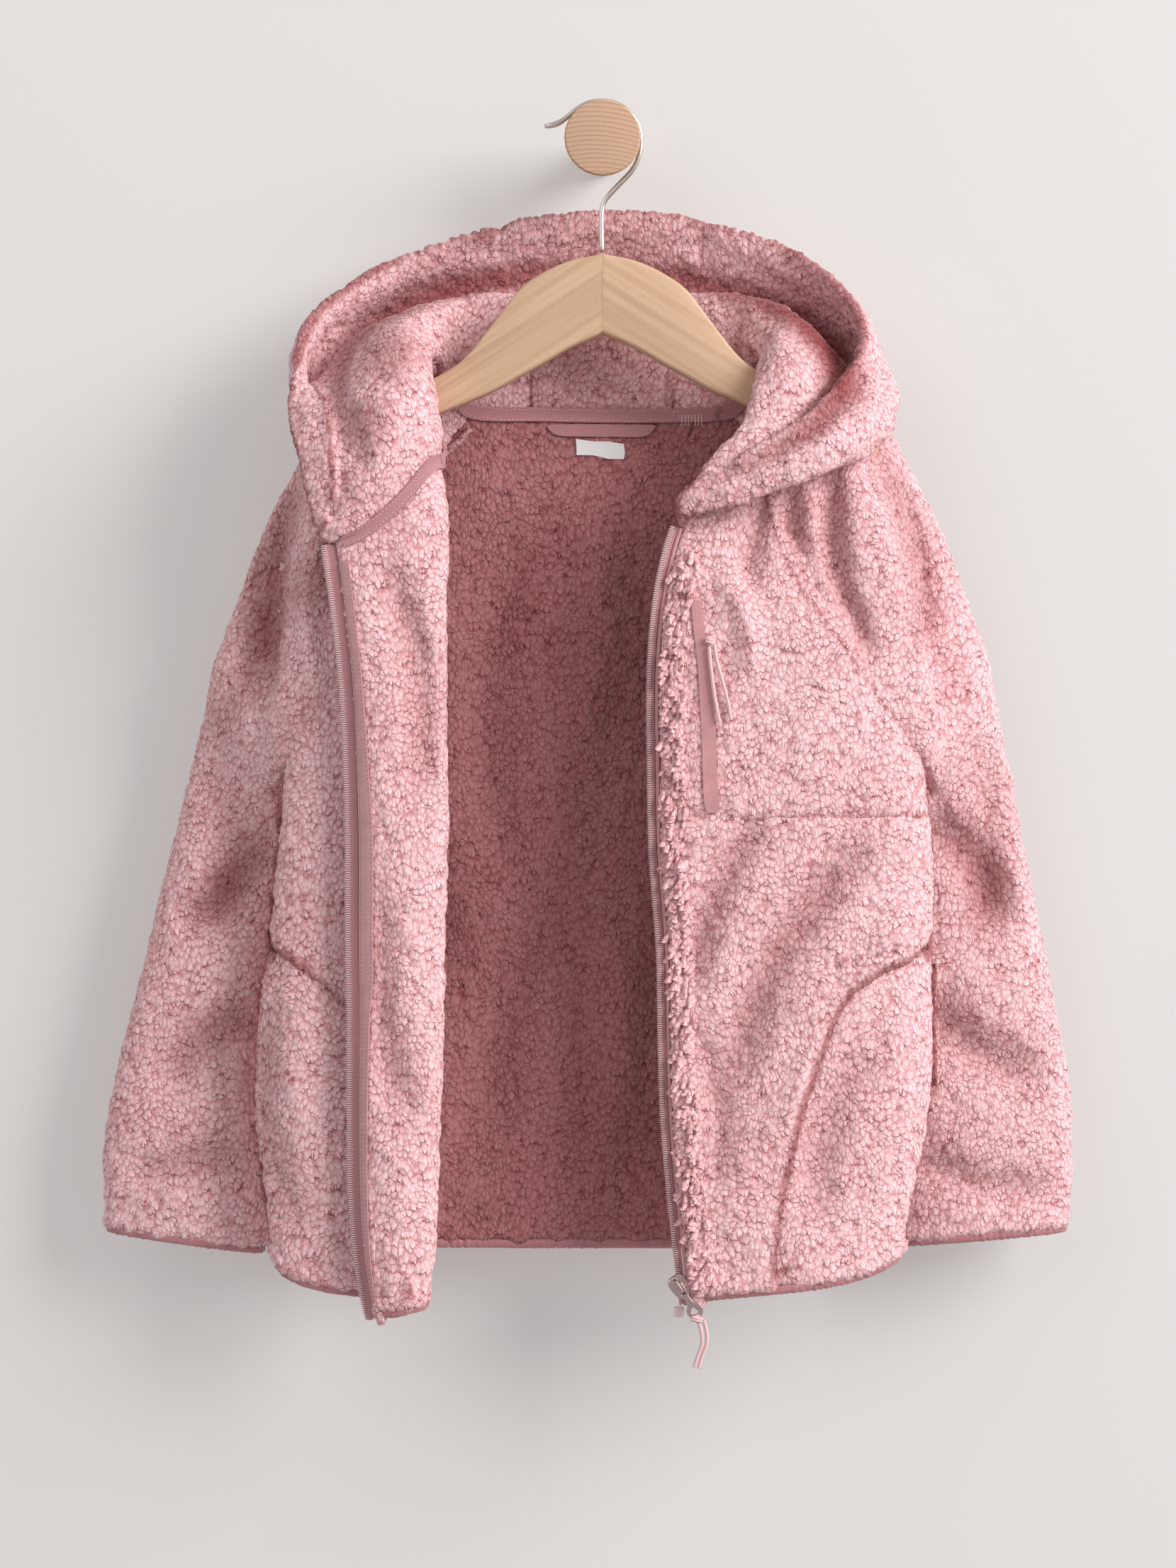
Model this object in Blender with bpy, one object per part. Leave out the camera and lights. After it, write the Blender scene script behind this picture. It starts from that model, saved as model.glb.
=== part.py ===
"""A child's hooded fleece jacket, hanging open on a wooden hanger from a wall peg.

Tables are in millimetres and objects in metres. +Z is up, the wall is the plane y = 0 and the
front faces -Y. The origin is the centre of the peg's flat back face, on the wall. Left and right
are the wearer's, so left is at +X. The right front is folded back on itself.

The body is a ring of cloth, read at a height z and at a place w round it: w = 0 is the zip edge of
the folded-back front, 5 its fold, 11 the right side seam, 16 the centre back, 21 the left side seam
and 27 the zip edge of the left front. The hood is read at a station u, from zip to zip.
Every piece of cloth is a wall round its middle surface, and sewn edges are GAP apart.
"""

from math import cos, pi, radians, sin

import bmesh
import bpy
import numpy as np

PILE = 3.5  # half of the cloth's thickness, fur included
SEAM_HALF = 1.4  # half thickness where cloth is sewn
CLEAR = 10.2  # from the hanger to the cloth's middle
RIM_HALF = 2.2  # half thickness at a free edge
BAND_HALF, BAND_FOOT = 6.0, 2.6  # half thickness of the hood's turned-in hem, and at its foot
TAPE_HALF = 0.7
BINDING_HALF = (SEAM_HALF, 2.7, 2.2)  # from the cloth to the binding's edge
BINDING = 8  # height of the hem's and cuffs' binding
BINDING_ROWS = (0, 3, BINDING)  # how far beyond the cloth's edge
PIPING_ROWS, PIPING_HALF = (0, 1.5, 3), (1.2, 1.6, 1)
LEFT_TAPE_ROWS, RIGHT_TAPE_ROWS = (3, 5, 6.8, 8.6), (9.4, 7.6, 5.8, 0)
TAPE_ROWS_HALF = (1.0, 1.7, TAPE_HALF, TAPE_HALF)  # from the teeth to the sewn edge
LOOP_LIFT, LABEL_LIFT, WELT_LIFT, FACING_LIFT = 1.2, 1.0, 0.6, 0.5  # clear of the cloth below
GAP = 0.36
FOLD_SHARE = 0.8  # of the room on the inside of a fold that the cloth may fill
MM = 0.001
HUNG = np.array((0, -16, -3))  # the cloth hangs this far from where its tables put it

BODY_COLUMNS = (
    "z", "right_zip", "right_fold", "right_side", "left_side", "left_zip", "back_y", "tuck_y",
)
BODY = (
    (-800, -147, -119, -221, 200, 62, -27, -61),
    (-750, -157, -114, -223, 203, 56, -26, -62),
    (-715, -160, -112, -225, 206, 52, -25, -62),
    (-660, -161, -110, -234, 218, 47, -25, -62),
    (-600, -161, -108, -233, 222, 45, -25, -62),
    (-540, -162, -107, -224, 220, 44, -26, -62),
    (-480, -162, -106, -218, 221, 39, -27, -62),
    (-423, -163, -105, -213, 215, 38, -28, -60),
    (-350, -166, -104, -212, 214, 38, -29, -47),
    (-290, -172, -104, -212, 213, 44, -30, -38),
    (-250, -178, -106, -212, 213, 54, -31, -36),
    (-215, -182, -116, -212, 213, 58, -32, -36),
    (-170, -184, -118, -212, 213, 60, -33, -37),
)
FLAP_Y, UNDER_Y, FRONT_Y, SIDE_Y = -115, -91, -104, -76  # depths that hold all the way down
HEM = (  # place round the body, height of the cloth's lower edge
    (0, -788), (3, -785), (5, -782), (8, -777), (9.3, -772), (10.3, -763), (11, -753), (13, -747),
    (16, -752),
    (19, -747), (21, -749), (22, -757), (23, -765), (24, -770), (25, -774), (27, -780),
)

# Raglan seams: (x, z) from the first point below the neck to the last above the underarm
RAGLAN = {
    "front_left": ((120, -287), (144, -319), (169, -355), (195, -392)),
    "back_left": ((112, -207), (138, -253), (167, -299), (193, -348)),
    "front_right": ((-121, -286), (-145, -319), (-170, -354), (-196, -392)),
    "back_right": ((-111, -207), (-138, -253), (-167, -299), (-193, -348)),
}
UNDERARM_Z, CHEST_SEAM_Z, POCKET_TOP_Z = -423, -455, -541
POCKET = {  # the front pocket's edge from the side seam, (x, z), and the x where it meets the hem
    "left": (
        (205, -551), (188, -557), (173, -566), (160, -578), (152, -597), (144, -618), (134, -645),
        (125, -682), (118, -722), 113,
    ),
    "right": (
        (-205, -552), (-193, -562), (-176, -579), (-163, -592), (-152, -612), (-144, -635),
        (-135, -668), (-128, -705), (-123, -740), -121,
    ),
}

# Sleeve above the underarm, for the left, a row for each section; the right one is its mirror
SLEEVE_TOP_COLUMNS = ("between", "ridge", "tuck", "face", "outer", "back")
SLEEVE_TOP = (
    (
        (130, -101, -260), (142, -101, -237), (150, -94, -212), (153, -80, -192), (151, -62, -173),
        (138, -46, -190),
    ),
    (
        (158, -96, -283), (177, -98, -251), (185, -90, -231), (188, -77, -211), (187, -62, -190),
        (172, -43, -222),
    ),
    (
        (185, -93, -312), (204, -88, -262), (203, -66, -243), (207, -61, -231), (205, -52, -217),
        (189, -40, -246),
    ),
    (
        (207, -90, -359), (211, -86, -317), (203, -60, -300), (218, -54, -276), (225, -42, -247),
        (211, -33, -299),
    ),
    (
        (217, -87, -404), (218, -86, -378), (218, -64, -368), (231, -54, -338), (252, -36, -311),
        (236, -24, -364),
    ),
)
SLEEVE_ANGLES = (0, 0.35, 0.7, 1.1, 1.7, pi, 4.6, 2 * pi)  # the same lines on the tube's first section
SLEEVE_TUBE_COLUMNS = ("inner_x", "inner_z", "outer_x", "outer_z", "front_y", "back_y")
SLEEVE_TUBE = {
    "left": (
        (225, -437, 260, -343, -66, -22), (214, -453, 270, -382, -50, -15), (203, -493, 280, -434, -49, -12),
        (201, -560, 297, -518, -48, -11), (200, -628, 311, -596, -47, -10), (200, -691, 323, -670, -47, -10),
        (200, -742, 319, -732, -44, -13),
    ),
    "right": (
        (-225, -437, -262, -345, -66, -22), (-215, -453, -273, -388, -50, -15),
        (-214, -493, -284, -428, -49, -12), (-230, -560, -305, -523, -48, -11),
        (-240, -623, -325, -598, -47, -10), (-240, -681, -340, -670, -47, -10),
        (-232, -747, -340, -732, -44, -13),
    ),
}

# Hood: a row for each station from the right zip end to the left, points from the free edge to the neck
HOOD_COLUMNS = ("edge", "hem", "wall", "bottom", "pouch", "crest", "stand", "neck")
HOOD = (
    (
        (-189, -110, -262), (-186, -111, -266), (-186, -111, -267), (-185, -111, -268),
        (-185, -111, -269), (-183, -111, -270), (-181, -111, -271), (-178, -110, -273),
    ),
    (
        (-194, -111, -242), (-179, -114, -247), (-175, -114, -248), (-172, -115, -250),
        (-169, -116, -252), (-166, -117, -255), (-161, -115, -259), (-156, -111, -263),
    ),
    (
        (-200, -107, -213), (-179, -113, -219), (-175, -113, -220), (-171, -114, -221),
        (-165, -118, -224), (-155, -122, -228), (-142, -118, -233), (-131, -109, -240),
    ),
    (
        (-208, -90, -181), (-185, -98, -179), (-181, -99, -180), (-175, -104, -180), (-162, -114, -184),
        (-141, -122, -192), (-122, -114, -204), (-115, -100, -218),
    ),
    (
        (-205, -80, -147), (-206, -64, -160), (-204, -64, -170), (-193, -74, -172), (-163, -98, -156),
        (-131, -110, -160), (-114, -100, -180), (-109, -86, -216),
    ),
    (
        (-194, -56, -115), (-198, -38, -130), (-203, -34, -155), (-194, -44, -167), (-168, -58, -132),
        (-134, -78, -121), (-118, -72, -141), (-119, -62, -151),
    ),
    (
        (-150, -34, -81), (-151, -22, -101), (-156, -12, -146), (-141, -22, -206), (-121, -30, -139),
        (-101, -48, -99), (-99, -49, -136), (-90, -40, -178),
    ),
    (
        (-70, -21, -51), (-70, -13, -72), (-73, -5, -141), (-68, -14, -232), (-59, -25, -148),
        (-51, -38, -92), (-48, -39, -140), (-47, -32, -180),
    ),
    (
        (0, -18, -41), (0, -12, -63), (0, -5, -136), (0, -13, -237), (0, -25, -147), (0, -37, -92),
        (0, -39, -137), (0, -31, -181),
    ),
    (
        (71, -21, -48), (69, -13, -69), (74, -5, -141), (69, -14, -235), (59, -25, -148),
        (50, -38, -93), (48, -39, -140), (48, -32, -181),
    ),
    (
        (131, -32, -71), (127, -20, -91), (137, -10, -146), (132, -20, -216), (117, -30, -139),
        (96, -49, -97), (88, -48, -138), (88, -40, -178),
    ),
    (
        (171, -60, -111), (175, -40, -118), (185, -32, -149), (177, -38, -174), (151, -56, -137),
        (124, -78, -116), (106, -70, -141), (112, -62, -150),
    ),
    (
        (173, -90, -146), (186, -72, -153), (198, -59, -167), (192, -68, -174), (151, -88, -155),
        (118, -102, -147), (100, -92, -167), (115, -84, -188),
    ),
    (
        (150, -112, -177), (176, -102, -190), (187, -97, -205), (170, -102, -212), (130, -106, -193),
        (100, -110, -190), (88, -102, -205), (109, -93, -230),
    ),
    (
        (131, -120, -195), (150, -124, -207), (160, -120, -219), (146, -115, -222), (108, -115, -207),
        (84, -113, -207), (76, -105, -215), (96, -95, -238),
    ),
    (
        (89, -122, -219), (105, -125, -231), (112, -120, -240), (99, -114, -240), (75, -114, -226),
        (63, -112, -227), (62, -106, -233), (71, -98, -249),
    ),
    (
        (50, -112, -244), (53, -114, -249), (54, -113, -252), (54, -112, -254), (53, -110, -256),
        (53, -108, -258), (53, -106, -260), (53, -103, -263),
    ),
)
HOOD_SEAMS = (7, 9)
NECK = {
    "front_right": (0, 4), "sleeve_right": (4, 6), "back": (6, 10), "sleeve_left": (10, 13),
    "front_left": (13, 16),
}
FOLD_AT_NECK = 6.6  # place round the body where the right raglan leaves the neck

# Where each grid reads its surface
RAGLAN_STEPS = (0, 0.25, 0.8, 1.4, 2.0, 2.7, 3.4, 4.1, 4.7, 5)
TUBE_STEPS = (5.5, 6, 6.5, 7, 7.7, 8.5, 9.3, 10.2, 11.1, 12)
ROUND_SLEEVE = np.array((0, 0.35, 0.7, 1, 1.5, 2, 2.5, 3, 3.5, 4, 4.5, 5, 5.5, 6, 6.35, 6.7, 7))
HOOD_STEPS = (0, 0.35, 0.7, 1, 1.3, 2, 2.5, 3, 3.5, 4, 4.5, 5, 5.5, 6.2, 7)
ACROSS = {
    "back": (0, 0.05, 0.15, 0.25, 0.34, 0.42, 0.5, 0.58, 0.66, 0.75, 0.85, 0.95, 1),
    "front_left": (0, 0.08, 0.2, 0.34, 0.48, 0.64, 0.79, 0.85, 1),
    "front_right": (0, 0.06, 0.1, 0.17, 0.27, 0.37, 0.43, 0.5, 0.57, 0.65, 0.76, 0.9, 1),
    "pocket": (0, 0.2, 0.5, 0.8, 1),
}
BOUND_FROM = {"front_left": 6, "front_right": 2}  # the column where the hem's binding ends
TO_CHEST, TO_POCKET, TO_HEM, MOUTH = 2, 4, 9, 4  # grid rows between the side seam's corners

NECK_TAPE = 10  # width
CHEST_WELT = (  # z, lowest and highest x
    (-312, 59.5, 65.3), (-316, 58.8, 66.2), (-331, 60.5, 67.3), (-350, 62.6, 70.6), (-364, 63.6, 72.9),
    (-383, 64.8, 74.2),
    (-402, 65.8, 75.3), (-421, 66.5, 75.8), (-440, 67.1, 76.4), (-448, 68, 77), (-452, 69.6, 75.6),
)
CORD = 1.3  # radius
CHEST_KNOT = (70.6, -338)
CHEST_CORDS = {
    "chest_cord_inner": ((70.4, -343.5), (72.1, -357), (73.7, -372), (75.6, -383), (78.6, -391.5)),
    "chest_cord_outer": ((73.6, -342.5), (76, -352.4), (79.9, -364.6), (83, -378), (85.6, -390)),
}
ZIP_Y = -99.3
SLIDER_AT, BOX_AT = (51.2, -767.6), (50.9, -781.6)
PULL_LEAN, PULL_DEPTH = 33, 8.9  # degrees from upright; the tab's middle from the zip's
SLIDER_PLATE = (
    (-4.4, -7.5), (4.4, -7.5), (6.2, -4.5), (6, 1), (4.4, 5.5), (3, 7.5), (-3.6, 7.5), (-4.8, 6),
    (-6, 1), (-6.2, -4.5),
)
SLIDER_POST = ((-2.8, -7), (-1.2, -7), (-1.2, -3.5), (-2.8, -3.5))
SLIDER_ARCH = (  # along, depth
    (-6.4, 3.8), (-6.4, 9.8), (-5.4, 11.8), (3.4, 11.8), (4.6, 9.8), (4.6, 3.8), (3.3, 3.8), (3.3, 9.8),
    (2.8, 10.6), (-4.8, 10.6), (-5.1, 9.8), (-5.1, 3.8),
)
RING, RING_AT = 5.6, 18.2
PULL_KNOT = (62.3, -787.9)
PULL_CORDS = {
    "pull_cord_inner": (
        (62.6, -112, -791.3), (65.5, -111.5, -797.3), (65.6, -111, -805.3), (62.7, -110.5, -812.9),
        (60, -110, -819.5),
    ),
    "pull_cord_outer": (
        (66.4, -112, -790.7), (68.9, -111.5, -797.3), (68.7, -111, -805.3), (65.8, -110.5, -812.9),
        (63.1, -110, -820.4),
    ),
}

# radius, depth
PEG = ((12, 0), (14, 30), (20, 62), (23.6, 73), (23.6, 83), (25.8, 84.5), (25.8, 87), (25, 88))
HANGER_Y, HANGER_THICK, HANGER_END = -78, 14, 185
HANGER = (  # distance from the centre line, height of the upper edge, height of the lower edge
    (0, -77, -130.5), (24, -82.5, -141.5), (43, -91.5, -152.5), (55, -100, -159), (72, -121.5, -168.5),
    (91, -145.5, -177), (118, -163.5, -188), (144, -179, -200), (166, -191, -209), (181, -200, -215),
)
WIRE = 2.0
HOOK = (  # x, z of the wire's centre line, from its tip over the peg and down to the hanger
    (-39.5, 9), (-36, 9.3), (-30.2, 10.8), (-24, 15.2), (-17, 21), (-9.6, 25), (0, 26.2), (9, 24.7),
    (18.5, 18.5),
    (24.6, 9), (26, -1), (24.8, -11), (20.6, -20.4), (13.4, -28.1), (5.7, -36.2), (0.5, -42.4),
    (-0.5, -47), (-0.5, -76.7),
)


def hermite(p1, p2, m1, m2, f):
    return (
        (2 * f**3 - 3 * f**2 + 1) * p1
        + (f**3 - 2 * f**2 + f) * m1
        + (3 * f**2 - 2 * f**3) * p2
        + (f**3 - f**2) * m2
    )


def curve(points, at):
    """A centripetal Catmull-Rom curve through the points, read at fractional point numbers."""
    points = np.asarray(points, float)
    at = np.atleast_1d(np.asarray(at, float))
    run = np.vstack([2 * points[0] - points[1], points, 2 * points[-1] - points[-2]])
    knots = np.sqrt(np.linalg.norm(np.diff(run, axis=0), axis=1))[:, None] + 1e-6
    i = np.clip(at.astype(int), 0, len(points) - 2)
    f = (at - i)[:, None]
    p0, p1, p2, p3 = run[i], run[i + 1], run[i + 2], run[i + 3]
    a, b, c = knots[i], knots[i + 1], knots[i + 2]
    m1 = b * ((p1 - p0) / a - (p2 - p0) / (a + b) + (p2 - p1) / b)
    m2 = b * ((p2 - p1) / b - (p3 - p1) / (b + c) + (p3 - p2) / c)
    return hermite(p1, p2, m1, m2, f)


def smooth_read(table, at):
    """The table's other columns at one value of its rising first column."""
    table = np.asarray(table, float)
    places, values = table[:, 0], table[:, 1:]
    slopes = np.gradient(values, places, axis=0)
    i = int(np.clip(np.searchsorted(places, at) - 1, 0, len(places) - 2))
    span = places[i + 1] - places[i]
    f = (at - places[i]) / span
    return hermite(values[i], values[i + 1], slopes[i] * span, slopes[i + 1] * span, f)


def unit(vectors):
    return vectors / np.maximum(np.linalg.norm(vectors, axis=-1, keepdims=True), 1e-9)


def body_ring(z):
    """Points (x, y) round the body at one height."""
    right_zip, fold, right_side, left_side, left_zip, back_y, tuck_y = smooth_read(BODY, z)
    flap, front = fold - right_zip, left_side - left_zip
    turn = (FLAP_Y + UNDER_Y) / 2
    loose = (UNDER_Y + 3 - turn) / 2
    step = (tuck_y - back_y) / 3
    return np.array([
        (right_zip, FLAP_Y + 4), (right_zip + 0.22 * flap, FLAP_Y),
        (right_zip + 0.55 * flap, FLAP_Y - 2),
        (fold - 13, FLAP_Y + 1), (fold - 4, turn - loose), (fold, turn), (fold - 4, turn + loose),
        (fold - 14, UNDER_Y + 2), ((fold + right_side) / 2, UNDER_Y), (right_side + 26, UNDER_Y - 2),
        (right_side + 8, UNDER_Y + 3), (right_side, SIDE_Y), (right_side + 8, (SIDE_Y + tuck_y) / 2),
        (right_side + 28, tuck_y), (right_side + 52, back_y + 2 * step),
        (right_side + 84, back_y + 0.8 * step),
        (0, back_y),
        (left_side - 84, back_y + 0.8 * step), (left_side - 52, back_y + 2 * step),
        (left_side - 28, tuck_y),
        (left_side - 8, (SIDE_Y + tuck_y) / 2), (left_side, SIDE_Y), (left_side - 8, UNDER_Y + 2),
        (left_side - 28, FRONT_Y + 7), (left_side - 0.38 * front, FRONT_Y),
        (left_side - 0.68 * front, FRONT_Y - 2),
        (left_zip + 14, FRONT_Y), (left_zip, FRONT_Y + 3),
    ])


def on_body(places):
    return np.array([[*curve(body_ring(z), w)[0], z] for w, z in np.reshape(places, (-1, 2))])


def round_body(x, z, low, high):
    """The place between low and high where the ring reaches x at this height."""
    w = np.linspace(low, high, 81)
    reach = curve(body_ring(z), w)[:, 0]
    order = np.argsort(reach)
    return np.interp(x, reach[order], w[order])


def hem_z(w):
    return smooth_read(HEM, w)[0]


def on_neck(u):
    return curve([row[-1] for row in HOOD], u)


def raglan(name, first, low, high):
    """The seam's places round the body, from the neck to the underarm."""
    places = [first] + [(round_body(x, z, low, high), z) for x, z in RAGLAN[name]]
    end = 11 if name.endswith("right") else 21
    return curve([*places, (end, UNDERARM_Z)], RAGLAN_STEPS)


def upright(w, top, bottom, rows):
    """Places down one line, without the first."""
    return np.column_stack([np.full(rows, w), np.linspace(top, bottom, rows + 1)[1:]])


def blend(top, bottom, left, right, across):
    """A grid of places that fills four edges; its rows keep the spacing of the left and right edge."""
    top, bottom, left, right = (np.asarray(edge, float) for edge in (top, bottom, left, right))
    s = np.asarray(across)[None, :, None]
    sides = [(edge[:, 1] - edge[0, 1]) / (edge[-1, 1] - edge[0, 1]) for edge in (left, right)]
    t = ((sides[0] + sides[1]) / 2)[:, None, None]
    corners = (
        (1 - s) * (1 - t) * top[0] + s * (1 - t) * top[-1] + (1 - s) * t * bottom[0] + s * t * bottom[-1]
    )
    return (1 - t) * top[None] + t * bottom[None] + (1 - s) * left[:, None] + s * right[:, None] - corners


def like(edge, first, last):
    """Places from first to last with the height spacing of another edge."""
    t = (edge[:, 1] - edge[0, 1]) / (edge[-1, 1] - edge[0, 1])
    return np.outer(1 - t, first) + np.outer(t, last)


def surface(places):
    return on_body(places).reshape(*places.shape[:2], 3)


def pin(grid, edge, target, reach):
    """Moves an edge of the grid onto the target, and the lines beside it less and less."""
    row, column = edge
    along_row = isinstance(row, int)
    move = target - grid[edge]
    count = grid.shape[0 if along_row else 1]
    away = np.arange(count)
    if (row if along_row else column) == -1:
        away = away[::-1]
    share = np.clip(1 - away / reach, 0, 1) ** 1.5
    grid += share[:, None, None] * move[None] if along_row else share[None, :, None] * move[:, None]
    grid[edge] = target


TOP, BOTTOM = (0, slice(None)), (-1, slice(None))
LEFT, RIGHT = (slice(None), 0), (slice(None), -1)


def direction(points, axis):
    """The way each line of the grid runs at its points, halfway between the steps on either side."""
    steps = unit(np.diff(points, axis=axis))
    steps = np.concatenate([steps.take([0], axis), steps, steps.take([-1], axis)], axis)
    before, after = np.moveaxis(steps, axis, 0)[:-1], np.moveaxis(steps, axis, 0)[1:]
    return np.moveaxis(before + after, 0, axis)


class Panel:
    """One piece of cloth: its middle surface on a grid, top row first, its normals and half thickness."""

    def __init__(self, name, points, material, half=PILE, rim=RIM_HALF):
        self.name, self.material = name, material
        self.points = np.array(points, float)
        self.read_normals()
        self.half = np.broadcast_to(half, self.points.shape[:2]).astype(float)
        for edge in (TOP, BOTTOM, LEFT, RIGHT):
            self.half[edge] = np.minimum(self.half[edge], rim)
        self.thinned = {1: self.half, -1: self.half}
        rows, columns = self.points.shape[:2]
        self.rim = [(0, j) for j in range(columns - 1)] + [(i, columns - 1) for i in range(rows - 1)]
        self.rim += [
            (rows - 1, j)
            for j in range(columns - 1, 0, -1)
        ] + [(i, 0) for i in range(rows - 1, 0, -1)]
        self.keys = {place: place for place in self.rim}

    def read_normals(self):
        self.normals = unit(np.cross(direction(self.points, 1), direction(self.points, 0)))

    def outward(self, edge):
        """Across each edge point, away from the cloth and level with it."""
        row, column = edge
        if isinstance(row, int):
            beside = (1 if row == 0 else -2, column)
        else:
            beside = (row, 1 if column == 0 else -2)
        line = self.points[edge]
        along = unit(np.gradient(line, axis=0))
        across = unit(np.cross(self.normals[edge], along))
        away = line - self.points[beside]
        return across * np.sign((across * away).sum(-1, keepdims=True))

    def thin(self):
        """Thins each side where it would run into itself in a tight fold."""
        points, normals = self.points.reshape(-1, 3), self.normals.reshape(-1, 3)
        apart = points[None] - points[:, None]
        rise = (apart * normals[:, None]).sum(-1)
        far = np.eye(len(points)) * 1e6
        for side in (1, -1):
            # the largest ball that touches the surface here and holds none of its other points
            ball = (((apart**2).sum(-1) + far) / (2 * np.maximum(side * rise, 1e-6))).min(1)
            self.thinned[side] = np.minimum(self.half, FOLD_SHARE * ball.reshape(self.half.shape))

    def faces(self):
        return [self.points + side * self.normals * self.thinned[side][..., None] for side in (1, -1)]


def beyond(edges, reaches):
    """Lines at these distances past edges that follow each other, corners joined."""
    line, away = [], []
    for panel, edge in edges:
        points, outward = panel.points[edge], panel.outward(edge)
        if line:
            away[-1] = unit(away[-1] + outward[0])
            points, outward = points[1:], outward[1:]
        line += list(points)
        away += list(outward)
    return np.array([np.array(line) + np.array(away) * reach for reach in reaches])


def clear_hanger(points):
    """Lifts or pushes cloth off the hanger, in the tables' frame."""
    over, upper, lower = np.array(HANGER, float).T
    x, y, z = np.moveaxis(points - (0, HANGER_Y - HUNG[1], 0), -1, 0)
    top, bottom = (np.interp(np.abs(x), over, edge) - HUNG[2] for edge in (upper, lower))
    side = np.abs(y) - HANGER_THICK / 2
    rise = (z - top) * 0.8
    near = (np.abs(x) < HANGER_END + 8) & (z > bottom - 6)
    out = np.where(side > rise, np.hypot(np.maximum(side, 0), np.maximum(rise, 0)), rise)
    out = np.where((side < 0) & (rise < 0), np.maximum(side, rise), out)
    short = np.where(near, np.maximum(0, CLEAR - out), 0)
    length = np.maximum(np.hypot(np.maximum(side, 0), np.maximum(rise, 0)), 1e-6)
    sideways = np.where(rise <= 0, side > rise, np.maximum(side, 0) / length)
    up = np.where(rise <= 0, side <= rise, np.maximum(rise, 0) / length)
    moved = points.copy()
    moved[..., 1] += np.sign(y) * sideways * short
    moved[..., 2] += up * short / 0.8
    return moved


def sew(panels):
    """Gives edges that lie together one normal and the seam's thickness and draws them GAP apart."""
    met, seams = {}, {}
    for panel in panels:
        panel.keys = {place: tuple(np.round(panel.points[place], 4)) for place in panel.rim}
        for place, key in panel.keys.items():
            met.setdefault(key, []).append((panel, place))
        for a, b in zip(panel.rim, panel.rim[1:] + panel.rim[:1]):
            seams.setdefault(frozenset((panel.keys[a], panel.keys[b])), []).append(panel)
    for members in met.values():
        if len(members) > 1:
            normal = unit(sum(panel.normals[place] for panel, place in members))
            for panel, place in members:
                panel.normals[place] = normal
                panel.half[place] = min(panel.half[place], SEAM_HALF)
    for panel in panels:
        sides = []
        for a, b in zip(panel.rim, panel.rim[1:] + panel.rim[:1]):
            sewn = len(seams[frozenset((panel.keys[a], panel.keys[b]))]) > 1
            normal = panel.normals[a] + panel.normals[b]
            sides.append(unit(np.cross(normal, panel.points[b] - panel.points[a])) if sewn else None)
        for place, before, after in zip(panel.rim, sides[-1:] + sides[:-1], sides):
            held = [side for side in (before, after) if side is not None]
            if held:
                panel.points[place] += GAP / 2 * sum(held) / max(
                    0.4, 1 + (held[0] @ held[1] if len(held) > 1 else 0),
                )
    for panel in panels:
        panel.thin()
    for members in met.values():
        for side in (1, -1):
            thinnest = min(panel.thinned[side][place] for panel, place in members)
            for panel, place in members:
                panel.thinned[side][place] = thinnest


def add_object(name, mesh, material):
    obj = bpy.data.objects.new(name, mesh)
    obj.data.materials.append(material)
    jacket.objects.link(obj)
    return obj


def mesh_object(name, points, faces, material, smooth=True):
    mesh = bpy.data.meshes.new(name)
    mesh.from_pydata(
        (np.asarray(points, float) * MM).tolist(), [], [tuple(map(int, face)) for face in faces],
    )
    if smooth:
        mesh.shade_smooth()
    return add_object(name, mesh, material)


def wall(panel):
    """A closed wall round the panel's middle surface."""
    outer, inner = panel.faces()
    rows, columns = outer.shape[:2]
    number = np.arange(rows * columns).reshape(rows, columns)
    back = number + rows * columns
    faces = []
    for i in range(rows - 1):
        for j in range(columns - 1):
            faces.append((number[i, j], number[i, j + 1], number[i + 1, j + 1], number[i + 1, j]))
            faces.append((back[i, j], back[i + 1, j], back[i + 1, j + 1], back[i, j + 1]))
    for start, end in zip(panel.rim, panel.rim[1:] + panel.rim[:1]):
        a, b = number[start], number[end]
        c, d = a + rows * columns, b + rows * columns
        # two sewn edges split their facing rims along the same diagonal
        faces += [(b, a, c), (b, c, d)] if panel.keys[start] < panel.keys[end] else [(b, a, d), (a, c, d)]
    points = np.concatenate([outer.reshape(-1, 3), inner.reshape(-1, 3)]) + HUNG
    return mesh_object(panel.name, points, faces, panel.material)


def read_faces(panel, row, column):
    """The outside and the inside of a panel at fractional grid rows and columns."""
    row, column = np.broadcast_arrays(np.asarray(row, float), np.asarray(column, float))
    i = np.clip(np.floor(row).astype(int), 0, panel.points.shape[0] - 2)
    j = np.clip(np.floor(column).astype(int), 0, panel.points.shape[1] - 2)
    f, g = (row - i)[..., None], (column - j)[..., None]
    return [
        (1 - f) * (1 - g) * face[i, j] + (1 - f) * g * face[i, j + 1]
        + f * (1 - g) * face[i + 1, j] + f * g * face[i + 1, j + 1]
        for face in panel.faces()
    ]


def above(panel, side, row, column, lift):
    """Points off one face of a panel; side is 1 outside and -1 inside."""
    outer, inner = read_faces(panel, row, column)
    return (outer if side > 0 else inner) + unit(outer - inner) * side * lift


def laid(name, panel, side, row, column, half, material, lift=GAP):
    """A thin piece that lies on a panel's face."""
    return Panel(name, above(panel, side, row, column, half + lift), material, half, half)


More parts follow.
